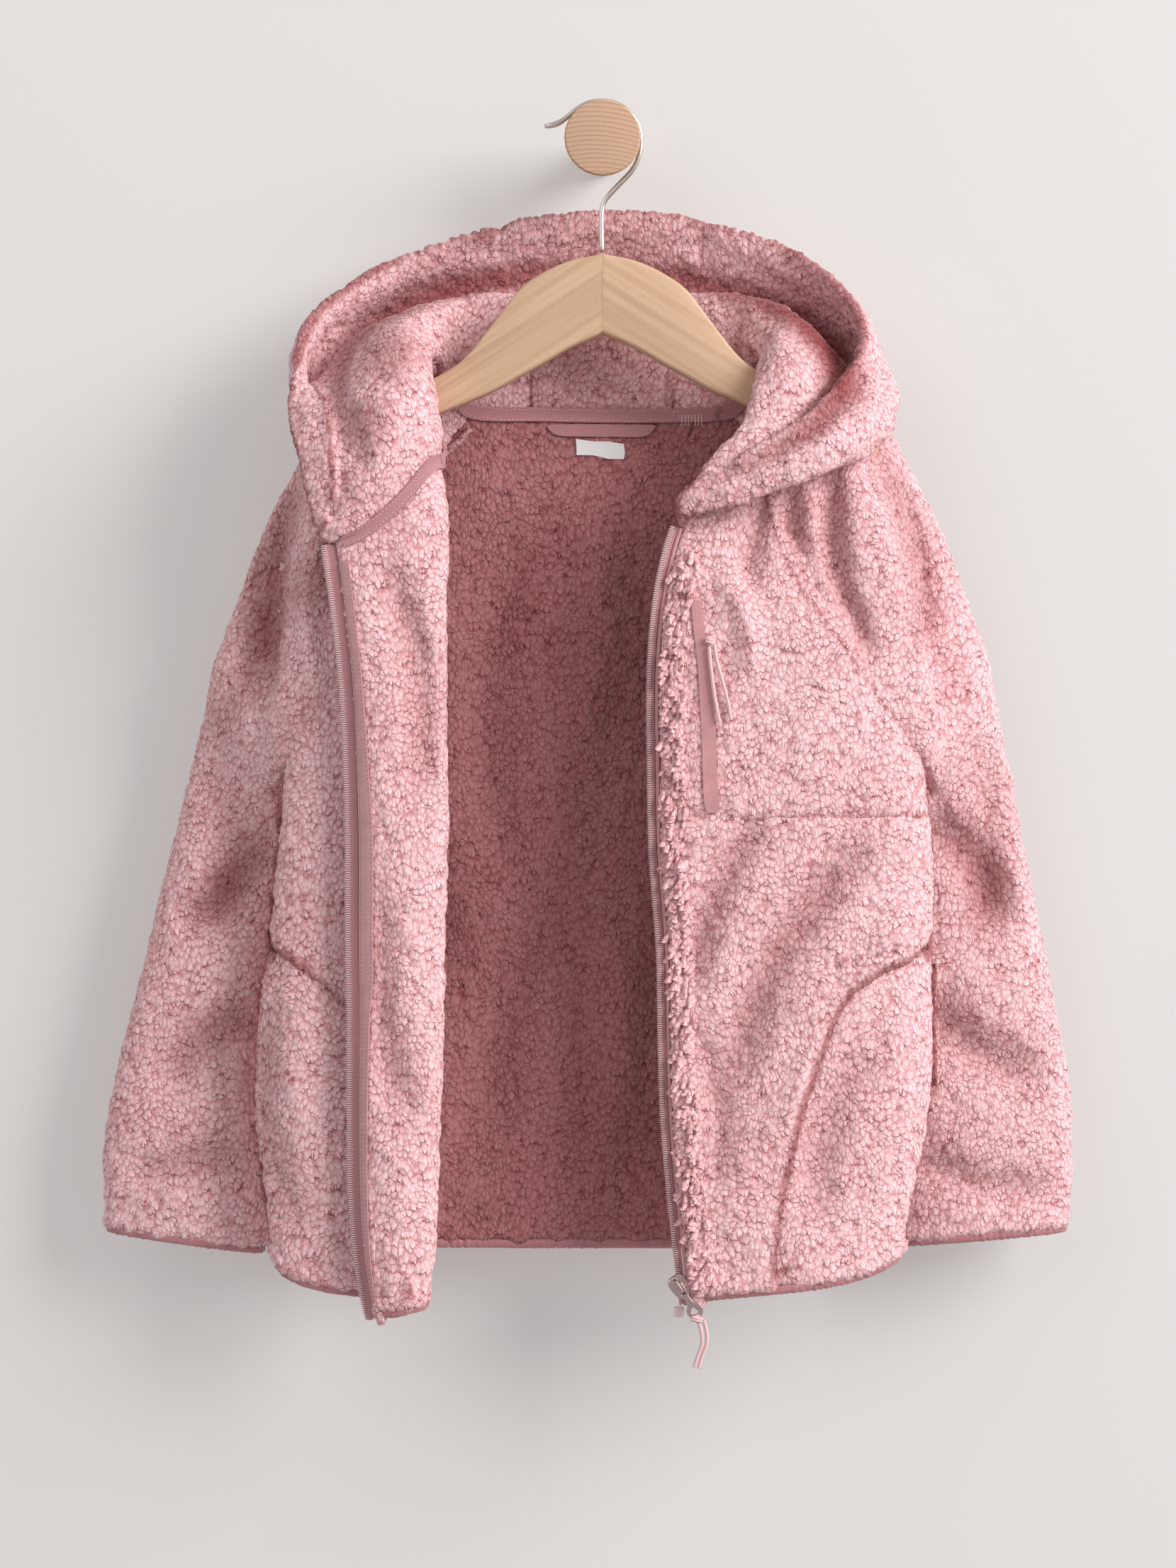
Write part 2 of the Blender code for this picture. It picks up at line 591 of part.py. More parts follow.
def find(panel, x, z):
    """Fractional grid rows and columns of a panel where it shows x and z."""
    rows, columns = panel.points.shape[:2]
    row, column = np.meshgrid(
        np.linspace(0, rows - 1, 241), np.linspace(0, columns - 1, 241), indexing="ij",
    )
    seen = read_faces(panel, row, column)[0][..., [0, 2]]
    x, z = np.broadcast_arrays(np.asarray(x, float), np.asarray(z, float))
    spots = [np.argmin(((seen - spot) ** 2).sum(-1)) for spot in np.stack([x, z], -1).reshape(-1, 2)]
    return row.flat[spots].reshape(x.shape), column.flat[spots].reshape(x.shape)


def turned(name, profile, material, sides=28):
    """A solid turned about the Y axis through the origin, from (radius, distance from the wall)."""
    angles = np.arange(sides) * 2 * pi / sides
    points, faces = [], []
    for radius, depth in profile:
        points += [(radius * cos(a), -depth, radius * sin(a)) for a in angles]
    for i in range(len(profile) - 1):
        for k in range(sides):
            a, b = i * sides + k, i * sides + (k + 1) % sides
            faces.append((a, b, b + sides, a + sides))
    faces += [tuple(range(sides))[::-1], tuple(range((len(profile) - 1) * sides, len(profile) * sides))]
    return mesh_object(name, points, faces, material, smooth=False)


def swept(name, sections, material, smooth=False):
    """A solid through closed sections with as many points each."""
    sections = np.asarray(sections, float)
    count = sections.shape[1]
    faces = [
        tuple(range(count)),
        tuple(range(sections[0].size // 3 * (len(sections) - 1), count * len(sections)))[::-1],
    ]
    for i in range(len(sections) - 1):
        for k in range(count):
            a, b = i * count + k, i * count + (k + 1) % count
            faces.append((b, a, a + count, b + count))
    return mesh_object(name, sections.reshape(-1, 3), faces, material, smooth)


def slab(name, outline, holes, place, thick, material):
    """A flat piece: an outline with holes, set by a function of (across, along, depth), thick in depth."""
    mesh = bmesh.new()
    loops = []
    for loop in (outline, *holes):
        corners = [mesh.verts.new((a, l, 0)) for a, l in loop]
        loops.append([mesh.edges.new((p, q)) for p, q in zip(corners, corners[1:] + corners[:1])])
    bmesh.ops.triangle_fill(mesh, use_beauty=True, edges=[edge for loop in loops for edge in loop])
    front = bmesh.ops.extrude_face_region(mesh, geom=mesh.faces[:])
    for item in front["geom"]:
        if isinstance(item, bmesh.types.BMVert):
            item.co.z += thick
    bmesh.ops.recalc_face_normals(mesh, faces=mesh.faces[:])
    mesh.verts.index_update()
    points = [place(*vertex.co) for vertex in mesh.verts]
    faces = [[vertex.index for vertex in face.verts] for face in mesh.faces]
    mesh.free()
    obj = mesh_object(name, points, faces, material, smooth=False)
    turn = bmesh.new()
    turn.from_mesh(obj.data)
    bmesh.ops.recalc_face_normals(turn, faces=turn.faces[:])
    turn.to_mesh(obj.data)
    turn.free()
    return obj


def cord(name, points, radius, material, ends=None):
    line = bpy.data.curves.new(name, "CURVE")
    line.dimensions = "3D"
    line.bevel_depth = radius * MM
    line.bevel_resolution = 2
    line.use_fill_caps = True
    spline = line.splines.new("POLY")
    spline.points.add(len(points) - 1)
    for k, point in enumerate(points):
        spline.points[k].co = (*(np.asarray(point, float) * MM), 1)
        spline.points[k].radius = 1 if ends is None else ends[k]
    return add_object(name, line, material)


def round_line(points, count):
    """Evenly spaced points on the curve through these."""
    fine = curve(points, np.linspace(0, len(points) - 1, 40 * len(points)))
    run = np.append(0, np.cumsum(np.linalg.norm(np.diff(fine, axis=0), axis=1)))
    even = np.linspace(0, run[-1], count)
    return np.column_stack([np.interp(even, run, fine[:, k]) for k in range(3)])


def ball(name, centre, radii, turn, material):
    """A rounded lump: rings about an axis turned in the XZ plane."""
    rings = [(sin(a), -cos(a)) for a in np.linspace(0.25, pi - 0.25, 7)]
    points = []
    for out, along in rings:
        for b in np.arange(12) * pi / 6:
            x, y, z = radii[0] * along, radii[1] * out * cos(b), radii[2] * out * sin(b)
            points.append(
                (
                    centre[0] + x * cos(turn) - z * sin(turn), centre[1] + y,
                    centre[2] + x * sin(turn) + z * cos(turn),
                )
            )
    return swept(name, np.array(points).reshape(7, 12, 3)[::-1], material, smooth=True)


def material_of(name, colour, roughness, metallic=0.0):
    made = bpy.data.materials.new(name)
    made.use_nodes = True
    shader = made.node_tree.nodes["Principled BSDF"]
    shader.inputs["Base Color"].default_value = (*colour, 1)
    shader.inputs["Roughness"].default_value = roughness
    shader.inputs["Metallic"].default_value = metallic
    return made


for startup in list(bpy.data.objects):
    bpy.data.objects.remove(startup)
jacket = bpy.data.collections.new("fleece_jacket")
bpy.context.scene.collection.children.link(jacket)

FLEECE, BOUND, TAPE = (0.72, 0.42, 0.43), (0.62, 0.33, 0.36), (0.66, 0.38, 0.4)


def wood(name):
    return material_of(name, (0.72, 0.53, 0.35), 0.5)


def metal(name):
    return material_of(name, (0.75, 0.74, 0.73), 0.3, 1.0)


def cord_colour(name):
    return material_of(name, (0.78, 0.52, 0.54), 0.8)


def cloth(name, places_or_points, colour=FLEECE, half=PILE, rim=RIM_HALF):
    return Panel(name, places_or_points, material_of(name, colour, 0.95), half, rim)


# Seams, as places round the body
seams = {}
for name, (first, low, high) in {
    "front_right": ((FOLD_AT_NECK, -216), 5.5, 11),
    "back_right": ((round_body(-90, -178, 11, 16), -178), 11, 16),
    "back_left": ((round_body(88, -178, 16, 21), -178), 16, 21),
    "front_left": ((round_body(109, -230, 21, 27), -230), 21, 27),
}.items():
    seams[name] = raglan(name, first, low, high)

pocket_seams = {}
for side, low, high, at in (("left", 21, 25, 21), ("right", 5.5, 11, 11)):
    *points, hem_x = POCKET[side]
    foot = round_body(hem_x, -766, low, high)
    places = [(at, POCKET_TOP_Z)] + [(round_body(x, z, low, high), z) for x, z in points]
    places.append((foot, hem_z(foot) + BINDING))
    pocket_seams[side] = curve(
        places, [0, 1, 2, 3, 4, *np.linspace(4, len(places) - 1, TO_HEM + 1)[1:]],
    )


def side_seam(w, bottom=None):
    """Places down a side seam below the underarm: to the chest seam, the pocket's corner and the hem."""
    hem = hem_z(w) + BINDING if bottom is None else bottom
    return np.vstack([
        upright(w, UNDERARM_Z, CHEST_SEAM_Z, TO_CHEST),
        upright(w, CHEST_SEAM_Z, POCKET_TOP_Z, TO_POCKET),
        upright(w, POCKET_TOP_Z, hem, TO_HEM),
    ])


def hem_line(first, last, across, bound=None):
    """Places along a panel's lower edge; bound(k) says whether the binding runs there."""
    line = []
    for k, share in enumerate(across):
        w = first + (last - first) * share
        line.append((w, hem_z(w) + (BINDING if bound is None or bound(k) else 0)))
    return line


def neck_stations(name):
    first, last = NECK[name]
    if name.startswith("sleeve"):
        share = ROUND_SLEEVE / ROUND_SLEEVE[-1]
        share = share if name == "sleeve_right" else 1 - share[::-1]
    else:
        share = np.array(ACROSS[name])
    return first + (last - first) * share


def neck_places(name, low, high):
    return [(round_body(x, z, low, high), z) for x, y, z in on_neck(neck_stations(name))]


# Back
left = np.vstack([seams["back_right"], side_seam(11)])
right = np.vstack([seams["back_left"], side_seam(21)])
top = neck_places("back", 12, 20)
top[0], top[-1] = tuple(left[0]), tuple(right[0])
back = surface(blend(top, hem_line(11, 21, ACROSS["back"]), left, right, ACROSS["back"]))
pin(back, TOP, on_neck(neck_stations("back")), 5)
back = cloth("back", back)

# Left front: above the chest seam, below it, and the pocket
left = np.vstack([seams["front_left"], side_seam(21)[:TO_CHEST]])
zip_side = like(left, (27, -263), (27, CHEST_SEAM_Z))
top = neck_places("front_left", 21.5, 27)
top[0], top[-1] = tuple(left[0]), tuple(zip_side[0])
bottom = [(21 + 6 * share, CHEST_SEAM_Z) for share in ACROSS["front_left"]]
chest = surface(blend(top, bottom, left, zip_side, ACROSS["front_left"]))
pin(chest, TOP, on_neck(neck_stations("front_left")), 5)
side = side_seam(21)
left = np.vstack([side[TO_CHEST - 1 : TO_CHEST + TO_POCKET], pocket_seams["left"][1:]])
zip_side = like(left, (27, CHEST_SEAM_Z), (27, hem_z(27)))
hem = hem_line(left[-1][0], 27, ACROSS["front_left"], lambda k: k <= BOUND_FROM["front_left"])
lower = surface(blend(bottom, hem, left, zip_side, ACROSS["front_left"]))
lower[TOP] = chest[BOTTOM]
edge = pocket_seams["left"]
left = np.vstack([[(21, POCKET_TOP_Z)], side[TO_CHEST + TO_POCKET :]])
pocket_left = blend(
    edge[: MOUTH + 1], hem_line(21, edge[-1][0], ACROSS["pocket"]), left, edge[MOUTH:], ACROSS["pocket"]
)
pocket_left = surface(pocket_left)
front_left_upper, front_left_lower = cloth("front_left_upper", chest), cloth("front_left_lower", lower)
pocket_left = cloth("pocket_left", pocket_left)

# Right front, folded back, and its pocket
side = side_seam(11)
edge = pocket_seams["right"]
right = np.vstack([seams["front_right"], side[: TO_CHEST + TO_POCKET], edge[1:]])
zip_side = like(right, (0, -273), (0, hem_z(0)))
top = [
    (5 * u / 3 if u < 3 else 5 + (FOLD_AT_NECK - 5) * (u - 3), on_neck(u)[0][2])
    for u in neck_stations("front_right")
]
hem = hem_line(0, edge[-1][0], ACROSS["front_right"], lambda k: k >= BOUND_FROM["front_right"])
front_right = surface(blend(top, hem, zip_side, right, ACROSS["front_right"]))
pin(front_right, TOP, on_neck(neck_stations("front_right")), 7)
corner = np.vstack([[(11, POCKET_TOP_Z)], side[TO_CHEST + TO_POCKET :]])
pocket_right = surface(blend(
    edge[MOUTH::-1], hem_line(edge[-1][0], 11, ACROSS["pocket"]), edge[MOUTH:], corner, ACROSS["pocket"]
))
front_right, pocket_right = cloth("front_right", front_right), cloth("pocket_right", pocket_right)

# Sleeves
ROWS = len(RAGLAN_STEPS)


def at_steps(seam, steps):
    return np.column_stack([np.interp(steps, RAGLAN_STEPS, seam[:, k]) for k in range(3)])


def sleeve(side, front_seam, back_seam):
    """A grid from the front seam round the outside to the back seam, and on down as a tube."""
    flip = np.array((1 if side == "left" else -1, 1, 1))
    name = f"sleeve_{side}"
    neck = on_neck(neck_stations(name))
    if side == "left":
        neck = neck[::-1]
    fronts, backs = at_steps(front_seam, range(6)), at_steps(back_seam, range(6))
    sections = [neck]
    for k, row in enumerate(SLEEVE_TOP, 1):
        row = np.array(row, float) * flip
        if side == "right":
            row[:, 1] += 7 * np.clip((-70 - row[:, 1]) / 20, 0, 1)
        sections.append(curve([fronts[k], *row, backs[k]], ROUND_SLEEVE))
    placed = np.interp(ROUND_SLEEVE, range(8), SLEEVE_ANGLES)
    even = 2 * pi * ROUND_SLEEVE / ROUND_SLEEVE[-1]
    for k, (inner_x, inner_z, outer_x, outer_z, front_y, back_y) in enumerate(SLEEVE_TUBE[side]):
        mix = min(1, 0.3 * max(0, k - 1))
        angle = (1 - mix) * placed + mix * even
        share = (1 - np.cos(angle)) / 2
        deep = np.sign(np.sin(angle)) * np.abs(np.sin(angle)) ** 0.8
        sections.append(np.column_stack([
            inner_x + (outer_x - inner_x) * share,
            (front_y + back_y) / 2 + (front_y - back_y) / 2 * deep,
            inner_z + (outer_z - inner_z) * share,
        ]))
    sections = np.array(sections)
    steps = [*RAGLAN_STEPS, *TUBE_STEPS]
    grid = np.stack([curve(sections[:, j], steps) for j in range(len(ROUND_SLEEVE))], axis=1)
    pin(grid, TOP, neck, 4)
    for column, seam in ((0, front_seam), (-1, back_seam)):
        target = grid[:, column].copy()
        target[:ROWS] = seam
        pin(grid, (slice(None), column), target, 4)
    grid[ROWS:, -1] = grid[ROWS:, 0]
    return cloth(name, grid if side == "right" else grid[:, ::-1])


raglan_rows = slice(0, ROWS)
sleeve_left = sleeve("left", front_left_upper.points[raglan_rows, 0], back.points[raglan_rows, -1])
sleeve_right = sleeve("right", front_right.points[raglan_rows, -1], back.points[raglan_rows, 0])

# Hood, its hem band turned in
stations = sorted({round(float(u), 9): None for name in NECK for u in neck_stations(name)})
hood_lines = [curve([row[k] for row in HOOD], stations) for k in range(len(HOOD_COLUMNS))]
grid = np.stack(
    [curve([line[j] for line in hood_lines], HOOD_STEPS) for j in range(len(stations))], axis=1,
)
neck_edge = {}
for name in NECK:
    for u, point in zip(neck_stations(name), on_neck(neck_stations(name))):
        neck_edge[round(float(u), 9)] = point
grid[-1] = [neck_edge[u] for u in stations]
band = np.full(grid.shape[:2], PILE)
band[1], band[2], band[3] = BAND_HALF, BAND_HALF, BAND_FOOT
ends = np.clip(np.minimum(np.array(stations), 16 - np.array(stations)) / 2, 0.3, 1)
band = SEAM_HALF + (band - SEAM_HALF) * ends
hood = {}
cuts = [0, *(stations.index(u) for u in HOOD_SEAMS), len(stations) - 1]
for name, first, last in zip(("hood_right", "hood_centre", "hood_left"), cuts, cuts[1:]):
    part = slice(first, last + 1)
    hood[name] = cloth(name, grid[:, part], half=band[:, part])

cut = [
    back, front_left_upper, front_left_lower, pocket_left, front_right, pocket_right, sleeve_left,
    sleeve_right,
]
cut += hood.values()
owners = {
    "front_right": front_right, "sleeve_right": sleeve_right, "back": back, "sleeve_left": sleeve_left,
    "front_left": front_left_upper,
}
for name, panel in owners.items():
    panel.points[0] = [neck_edge[round(float(u), 9)] for u in neck_stations(name)]

for panel in cut:
    panel.points = clear_hanger(panel.points)
    panel.read_normals()

# Bindings, zip tapes and piping
start, end = BOUND_FROM["front_right"], BOUND_FROM["front_left"]
hem_edges = [
    (front_right, (-1, slice(start, None))), (pocket_right, BOTTOM), (back, BOTTOM),
    (pocket_left, BOTTOM),
    (front_left_lower, (-1, slice(0, end + 1))),
]
binding_half = np.array(BINDING_HALF)[:, None]
bound = [cloth("hem_binding", beyond(hem_edges, BINDING_ROWS), BOUND, binding_half, 2.7)]
for side, panel in (("left", sleeve_left), ("right", sleeve_right)):
    rows = beyond([(panel, BOTTOM)], BINDING_ROWS)
    rows[:, -1] = rows[:, 0] = (rows[:, -1] + rows[:, 0]) / 2
    rows[0] = panel.points[-1]
    bound.append(cloth(f"cuff_{side}", rows, BOUND, binding_half, 2.7))
tape_half = np.array(TAPE_ROWS_HALF)
edge = beyond([(front_right, LEFT)], RIGHT_TAPE_ROWS).transpose(1, 0, 2)
bound.append(cloth("zip_tape_right", edge, TAPE, tape_half, 1.7))
edges = [(front_left_upper, RIGHT), (front_left_lower, RIGHT)]
bound.append(
    cloth(
        "zip_piping", beyond(edges, PIPING_ROWS).transpose(1, 0, 2), BOUND, np.array(PIPING_HALF),
        1.6,
    )
)
bound.append(
    cloth(
        "zip_tape_left", beyond(edges, LEFT_TAPE_ROWS).transpose(1, 0, 2), TAPE, tape_half[::-1], 1.7,
    )
)

sew(cut + bound)

# Laid on the cloth: the zip's facing, the neck tape, the hanging loop, the label and the chest welt
rows = np.append(
    np.append(0.8, np.arange(1, front_right.points.shape[0] - 1)), front_right.points.shape[0] - 1.15,
)[:, None]
facing = laid(
    "zip_facing", front_right, -1, rows, np.array((0.12, 0.97, 1.5)), 0.45,
    material_of("zip_facing", BOUND, 0.8), FACING_LIFT,
)


def beside_seam(panel, row, beside, column, u):
    """The place on the inside of a panel half the tape's width from its seam."""
    reach = np.linalg.norm(panel.points[row, column] - panel.points[beside, column])
    over_arm = np.clip(2 - 2.2 * abs(abs(u - 8) - 3), 0, 1)
    share = min(0.9, NECK_TAPE / 2 / reach * (1 - 0.45 * over_arm))
    at = row % panel.points.shape[0] + (share if row == 0 else -share)
    return above(panel, -1, at, column, TAPE_HALF + 1.1 + 0.9 * over_arm)


lines = []
for name, panel in owners.items():
    for column, u in enumerate(neck_stations(name)):
        u = round(float(u), 9)
        if u in (0, 16) or any(u == line[0] for line in lines):
            continue
        k = stations.index(u)
        owner, first = next((hood[n], a) for n, a, b in zip(hood, cuts, cuts[1:]) if a <= k <= b)
        seam = above(owner, -1, owner.points.shape[0] - 1, k - first, TAPE_HALF + 1.1)
        lines.append(
            (u, beside_seam(owner, -1, -2, k - first, u), seam, beside_seam(panel, 0, 1, column, u))
        )
neck_tape = Panel(
    "neck_tape", np.array([[line[k] for line in lines] for k in (1, 2, 3)]),
    material_of("neck_tape", TAPE, 0.85), TAPE_HALF, TAPE_HALF,
)
loop_x = np.array((np.linspace(-40, 39, 7), np.linspace(-36, 35, 7), np.linspace(-32, 31, 7)))
loop_z = np.array((np.full(7, -187.6), np.full(7, -191.8), np.linspace(-195.5, -196.5, 7)))
loop = laid(
    "hanging_loop", back, -1, *find(back, loop_x, loop_z), 0.5, material_of("hanging_loop", TAPE, 0.85),
    LOOP_LIFT,
)
label_x = np.tile(np.linspace(-17.8, 15.1, 4), (3, 1))
label_z = np.linspace(-197.6, -208.5, 3)[:, None] + np.linspace(0, -2.6, 4)
label = laid(
    "label", back, -1, *find(back, label_x, label_z), 0.25,
    material_of("label", (0.85, 0.84, 0.83), 0.7), LABEL_LIFT,
)
welt_z, welt_low, welt_high = np.array(CHEST_WELT, float).T
welt_x = welt_low[:, None] + (welt_high - welt_low)[:, None] * np.array((0, 0.5, 1))
welt_z = np.broadcast_to(welt_z[:, None], welt_x.shape)
welt = laid(
    "chest_welt", front_left_upper, 1, *find(front_left_upper, welt_x, welt_z), 0.4,
    material_of("chest_welt", BOUND, 0.6), WELT_LIFT,
)

for panel in [*cut, *bound, facing, neck_tape, loop, label, welt]:
    wall(panel)

# Chest pocket's cord, on the cloth


def on_chest(points, lift):
    x, z = np.array(points, float).T
    return above(front_left_upper, 1, *find(front_left_upper, x, z), lift) + HUNG


knot = on_chest([CHEST_KNOT], 3.7)[0]
ball("chest_cord_knot", knot, (3.6, 2.5, 3.2), radians(-20), cord_colour("chest_cord_knot"))
for name, route in CHEST_CORDS.items():
    cord(name, round_line(on_chest(route, CORD + 2.2), 10), CORD, cord_colour(name))

# Slider and pull tab, in their own frame: across, along the tab, depth towards the front
centre = np.array((*SLIDER_AT, 0))[[0, 2, 1]] + HUNG + (0, ZIP_Y, 0)
lean = radians(PULL_LEAN)


def on_slider(across, along, depth):
    return centre + (
        across * cos(lean) + along * sin(lean), -depth, across * sin(lean) - along * cos(lean),
    )


plate_front = slab(
    "zip_slider", SLIDER_PLATE, [], lambda a, l, d: on_slider(a, l, 3.1 + d), 1.3, metal("zip_slider"),
)
parts = [
    slab(
        "slider_back", SLIDER_PLATE, [], lambda a, l, d: on_slider(a, l, -4.4 + d), 1.3,
        metal("slider_back"),
    ),
    slab(
        "slider_post", SLIDER_POST, [], lambda a, l, d: on_slider(a, l, -3.8 + d), 7.6,
        metal("slider_post"),
    ),
    slab(
        "slider_arch", SLIDER_ARCH, [], lambda l, d, a: on_slider(a - 0.9, l, d), 1.8,
        metal("slider_arch"),
    ),
]
for part in parts:
    union = plate_front.modifiers.new(part.name, "BOOLEAN")
    union.operation, union.solver, union.object = "UNION", "EXACT", part
    part.hide_render = True

ring = [(RING * sin(a), RING_AT - RING * cos(a)) for a in np.linspace(0.5, 2 * pi - 0.5, 17)]
tab = [
    (1.9, 8.5), *ring, (-1.9, 8.5), (-2.9, 4.5), (-2.9, -2.4), (-2.2, -3.2), (2.2, -3.2), (2.9, -2.4),
    (2.9, 4.5),
]
window = [(-1.5, -0.8), (1.5, -0.8), (1.5, 5.4), (-1.5, 5.4)]
hole = [(2.4 * cos(a), RING_AT + 2.4 * sin(a)) for a in np.arange(12) * pi / 6]
slab(
    "zip_pull", tab, [window, hole], lambda a, l, d: on_slider(a, l, PULL_DEPTH - 0.75 + d), 1.5,
    metal("zip_pull"),
)
ball(
    "pull_knot", (*PULL_KNOT[:1], -112.2, PULL_KNOT[1]) + HUNG, (5.6, 2.4, 2.8), radians(8),
    cord_colour("pull_knot"),
)
for name, route in PULL_CORDS.items():
    points = np.array([(x, y, z) for x, y, z in route]) + HUNG
    cord(name, round_line(points, 11), CORD, cord_colour(name))
slab(
    "zip_box", [(-3.3, 0), (3.3, 0), (3.3, 6.6), (-3.3, 6.6)], [], lambda a, l,
    d: np.array((BOX_AT[0] + a, ZIP_Y - 2.3 + d, BOX_AT[1] - l)) + HUNG, 4.6,
    material_of("zip_box", BOUND, 0.4),
)

# Hanger, its hook and the peg
sections = []
half = HANGER_THICK / 2
for x, upper, lower in [(-x, u, l) for x, u, l in HANGER[:0:-1]] + list(HANGER):
    sections.append([
        (x, HANGER_Y + y, z) for y, z in (
            (-half + 1.2, upper), (half - 1.2, upper), (half, upper - 1.2), (half, lower + 1.2),
            (half - 1.2, lower), (-half + 1.2, lower), (-half, lower + 1.2), (-half, upper - 1.2),
        )
    ])
for end, sign in ((0, -1), (len(sections), 1)):
    upper, lower = HANGER[-1][1] - 4.5, HANGER[-1][2] + 3.5
    x = sign * HANGER_END
    sections.insert(end, [
        (x, HANGER_Y + y, z) for y, z in (
            (-4, upper), (4, upper), (5, upper - 1), (5, lower + 1), (4, lower), (-4, lower),
            (-5, lower + 1), (-5, upper - 1),
        )
    ])
swept("hanger", sections, wood("hanger"))
wire = round_line(np.array([(x, HANGER_Y, z) for x, z in HOOK], float), 36)
thick = [0.8, 1.25, 1.15, 1.0] + [1.0] * 32
cord("hook", wire, WIRE, metal("hook"), thick)
turned("wall_peg", PEG, wood("wall_peg"))
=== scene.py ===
import math

import bmesh
import bpy
import numpy as np
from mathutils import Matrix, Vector
from mathutils.bvhtree import BVHTree
from mathutils.kdtree import KDTree


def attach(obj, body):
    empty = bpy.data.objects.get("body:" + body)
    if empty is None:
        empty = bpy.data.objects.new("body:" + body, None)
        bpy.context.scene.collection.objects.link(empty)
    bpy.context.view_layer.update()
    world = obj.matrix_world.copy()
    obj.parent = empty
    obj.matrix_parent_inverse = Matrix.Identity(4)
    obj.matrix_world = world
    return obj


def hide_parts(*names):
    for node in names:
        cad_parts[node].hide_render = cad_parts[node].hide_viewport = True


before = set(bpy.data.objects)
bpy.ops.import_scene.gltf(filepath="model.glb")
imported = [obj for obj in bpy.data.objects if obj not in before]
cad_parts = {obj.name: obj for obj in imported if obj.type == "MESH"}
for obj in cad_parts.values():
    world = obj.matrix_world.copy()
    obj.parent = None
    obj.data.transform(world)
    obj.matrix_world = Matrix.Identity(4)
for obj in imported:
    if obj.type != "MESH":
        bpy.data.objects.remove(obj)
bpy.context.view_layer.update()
scene = bpy.context.scene
mm = 0.001


# Node helpers, for shader and geometry trees alike
def addNode(tree, kind, inputs=None, **settings):
    node = tree.nodes.new(kind)
    for key, value in settings.items():
        setattr(node, key, value)
    for key, value in (inputs or {}).items():
        socket = node.inputs[key]
        if isinstance(value, bpy.types.NodeSocket):
            tree.links.new(value, socket)
        else:
            socket.default_value = value
    return node


def made(tree, kind, inputs=None, **settings):
    return addNode(tree, kind, inputs, **settings).outputs[0]


def math2(tree, operation, a, b=None, clamp=False):
    inputs = {0: a} if b is None else {0: a, 1: b}
    return addNode(tree, "ShaderNodeMath", inputs, operation=operation, use_clamp=clamp).outputs[0]


def plus(tree, a, b, clamp=False):
    return math2(tree, "ADD", a, b, clamp)


def minus(tree, a, b, clamp=False):
    return math2(tree, "SUBTRACT", a, b, clamp)


def times(tree, a, b, clamp=False):
    return math2(tree, "MULTIPLY", a, b, clamp)


def vector2(tree, operation, a, b=None, scale=None):
    inputs = {0: a, **({} if b is None else {1: b}), **({} if scale is None else {"Scale": scale})}
    return addNode(tree, "ShaderNodeVectorMath", inputs, operation=operation).outputs["Vector"]


def scaled(tree, vector, scale):
    return vector2(tree, "SCALE", vector, scale=scale)


def stretched(tree, vector, x, y, z):
    return vector2(tree, "MULTIPLY", vector, (x, y, z))


def noiseOf(tree, place, scale, detail, **more):
    inputs = {"Vector": place, "Scale": scale, "Detail": detail, **more}
    return addNode(tree, "ShaderNodeTexNoise", inputs).outputs


def attributeOf(tree, name, output="Vector"):
    return addNode(tree, "ShaderNodeAttribute", attribute_name=name).outputs[output]


def objectPlace(tree):
    return addNode(tree, "ShaderNodeTexCoord").outputs["Object"]


def axesOf(tree, vector):
    return addNode(tree, "ShaderNodeSeparateXYZ", {0: vector}).outputs


def coloured(tree, shader, colour):
    tree.links.new(colour, shader.inputs["Base Color"])


def darkened(tree, shader, colour, loss, amount):
    # takes a share of each channel away where amount is 1
    left = vector2(tree, "SUBTRACT", (1, 1, 1), scaled(tree, tuple(loss), amount))
    coloured(tree, shader, vector2(tree, "MULTIPLY", colour, left))


def bumped(tree, shader, height, distance, strength):
    inputs = {"Height": height, "Distance": distance, "Strength": strength}
    tree.links.new(made(tree, "ShaderNodeBump", inputs), shader.inputs["Normal"])


def shades(colour, *factors):
    return [tuple(min(1, channel * factor) for channel in colour) for factor in factors]


def twoTone(tree, shader, tone, colour, factors, stops):
    dark, light = shades(colour, *factors)
    coloured(tree, shader, ramp(tree, tone, ((stops[0], dark), (stops[1], light))))


def newMaterial(name, roughness, sheen=0.0, metallic=0.0):
    material = bpy.data.materials.new(name)
    material.use_nodes = True
    shader = material.node_tree.nodes["Principled BSDF"]
    shader.inputs["Roughness"].default_value = roughness
    shader.inputs["Sheen Weight"].default_value = sheen
    shader.inputs["Metallic"].default_value = metallic
    return material, material.node_tree, shader


def ramp(tree, factor, stops):
    node = addNode(tree, "ShaderNodeValToRGB", {"Fac": factor})
    elements = node.color_ramp.elements
    while len(elements) < len(stops):
        elements.new(0.5)
    for element, (place, colour) in zip(elements, stops):
        element.position, element.color = place, (*colour, 1)
    return node.outputs["Color"]


# Camera and studio
cameraFacts = {"place": (-0.00984, -2.616, -0.436), "lens": 86.13, "sensor": 36.0}
studio = {
    "wall": (0.46, 0.442, 0.43), "wallGlow": 0.27, "wallSize": 14.0, "wallDepth": 0.6 * mm,
    "sky": (1.0, 0.985, 0.975), "skyPower": 0.46,
    "lamps": (  # place, aim, size, power
        ((4.2, -2.9, 2.0), (0.0, 0.0, -0.4), 3.2, 362.0),
        ((-2.6, -3.4, 1.4), (0.0, 0.0, -0.4), 2.6, 26.0),
        ((0.6, 2.4, 0.9), (0.0, 0.0, -0.4), 2.4, 26.0),
    ),
}


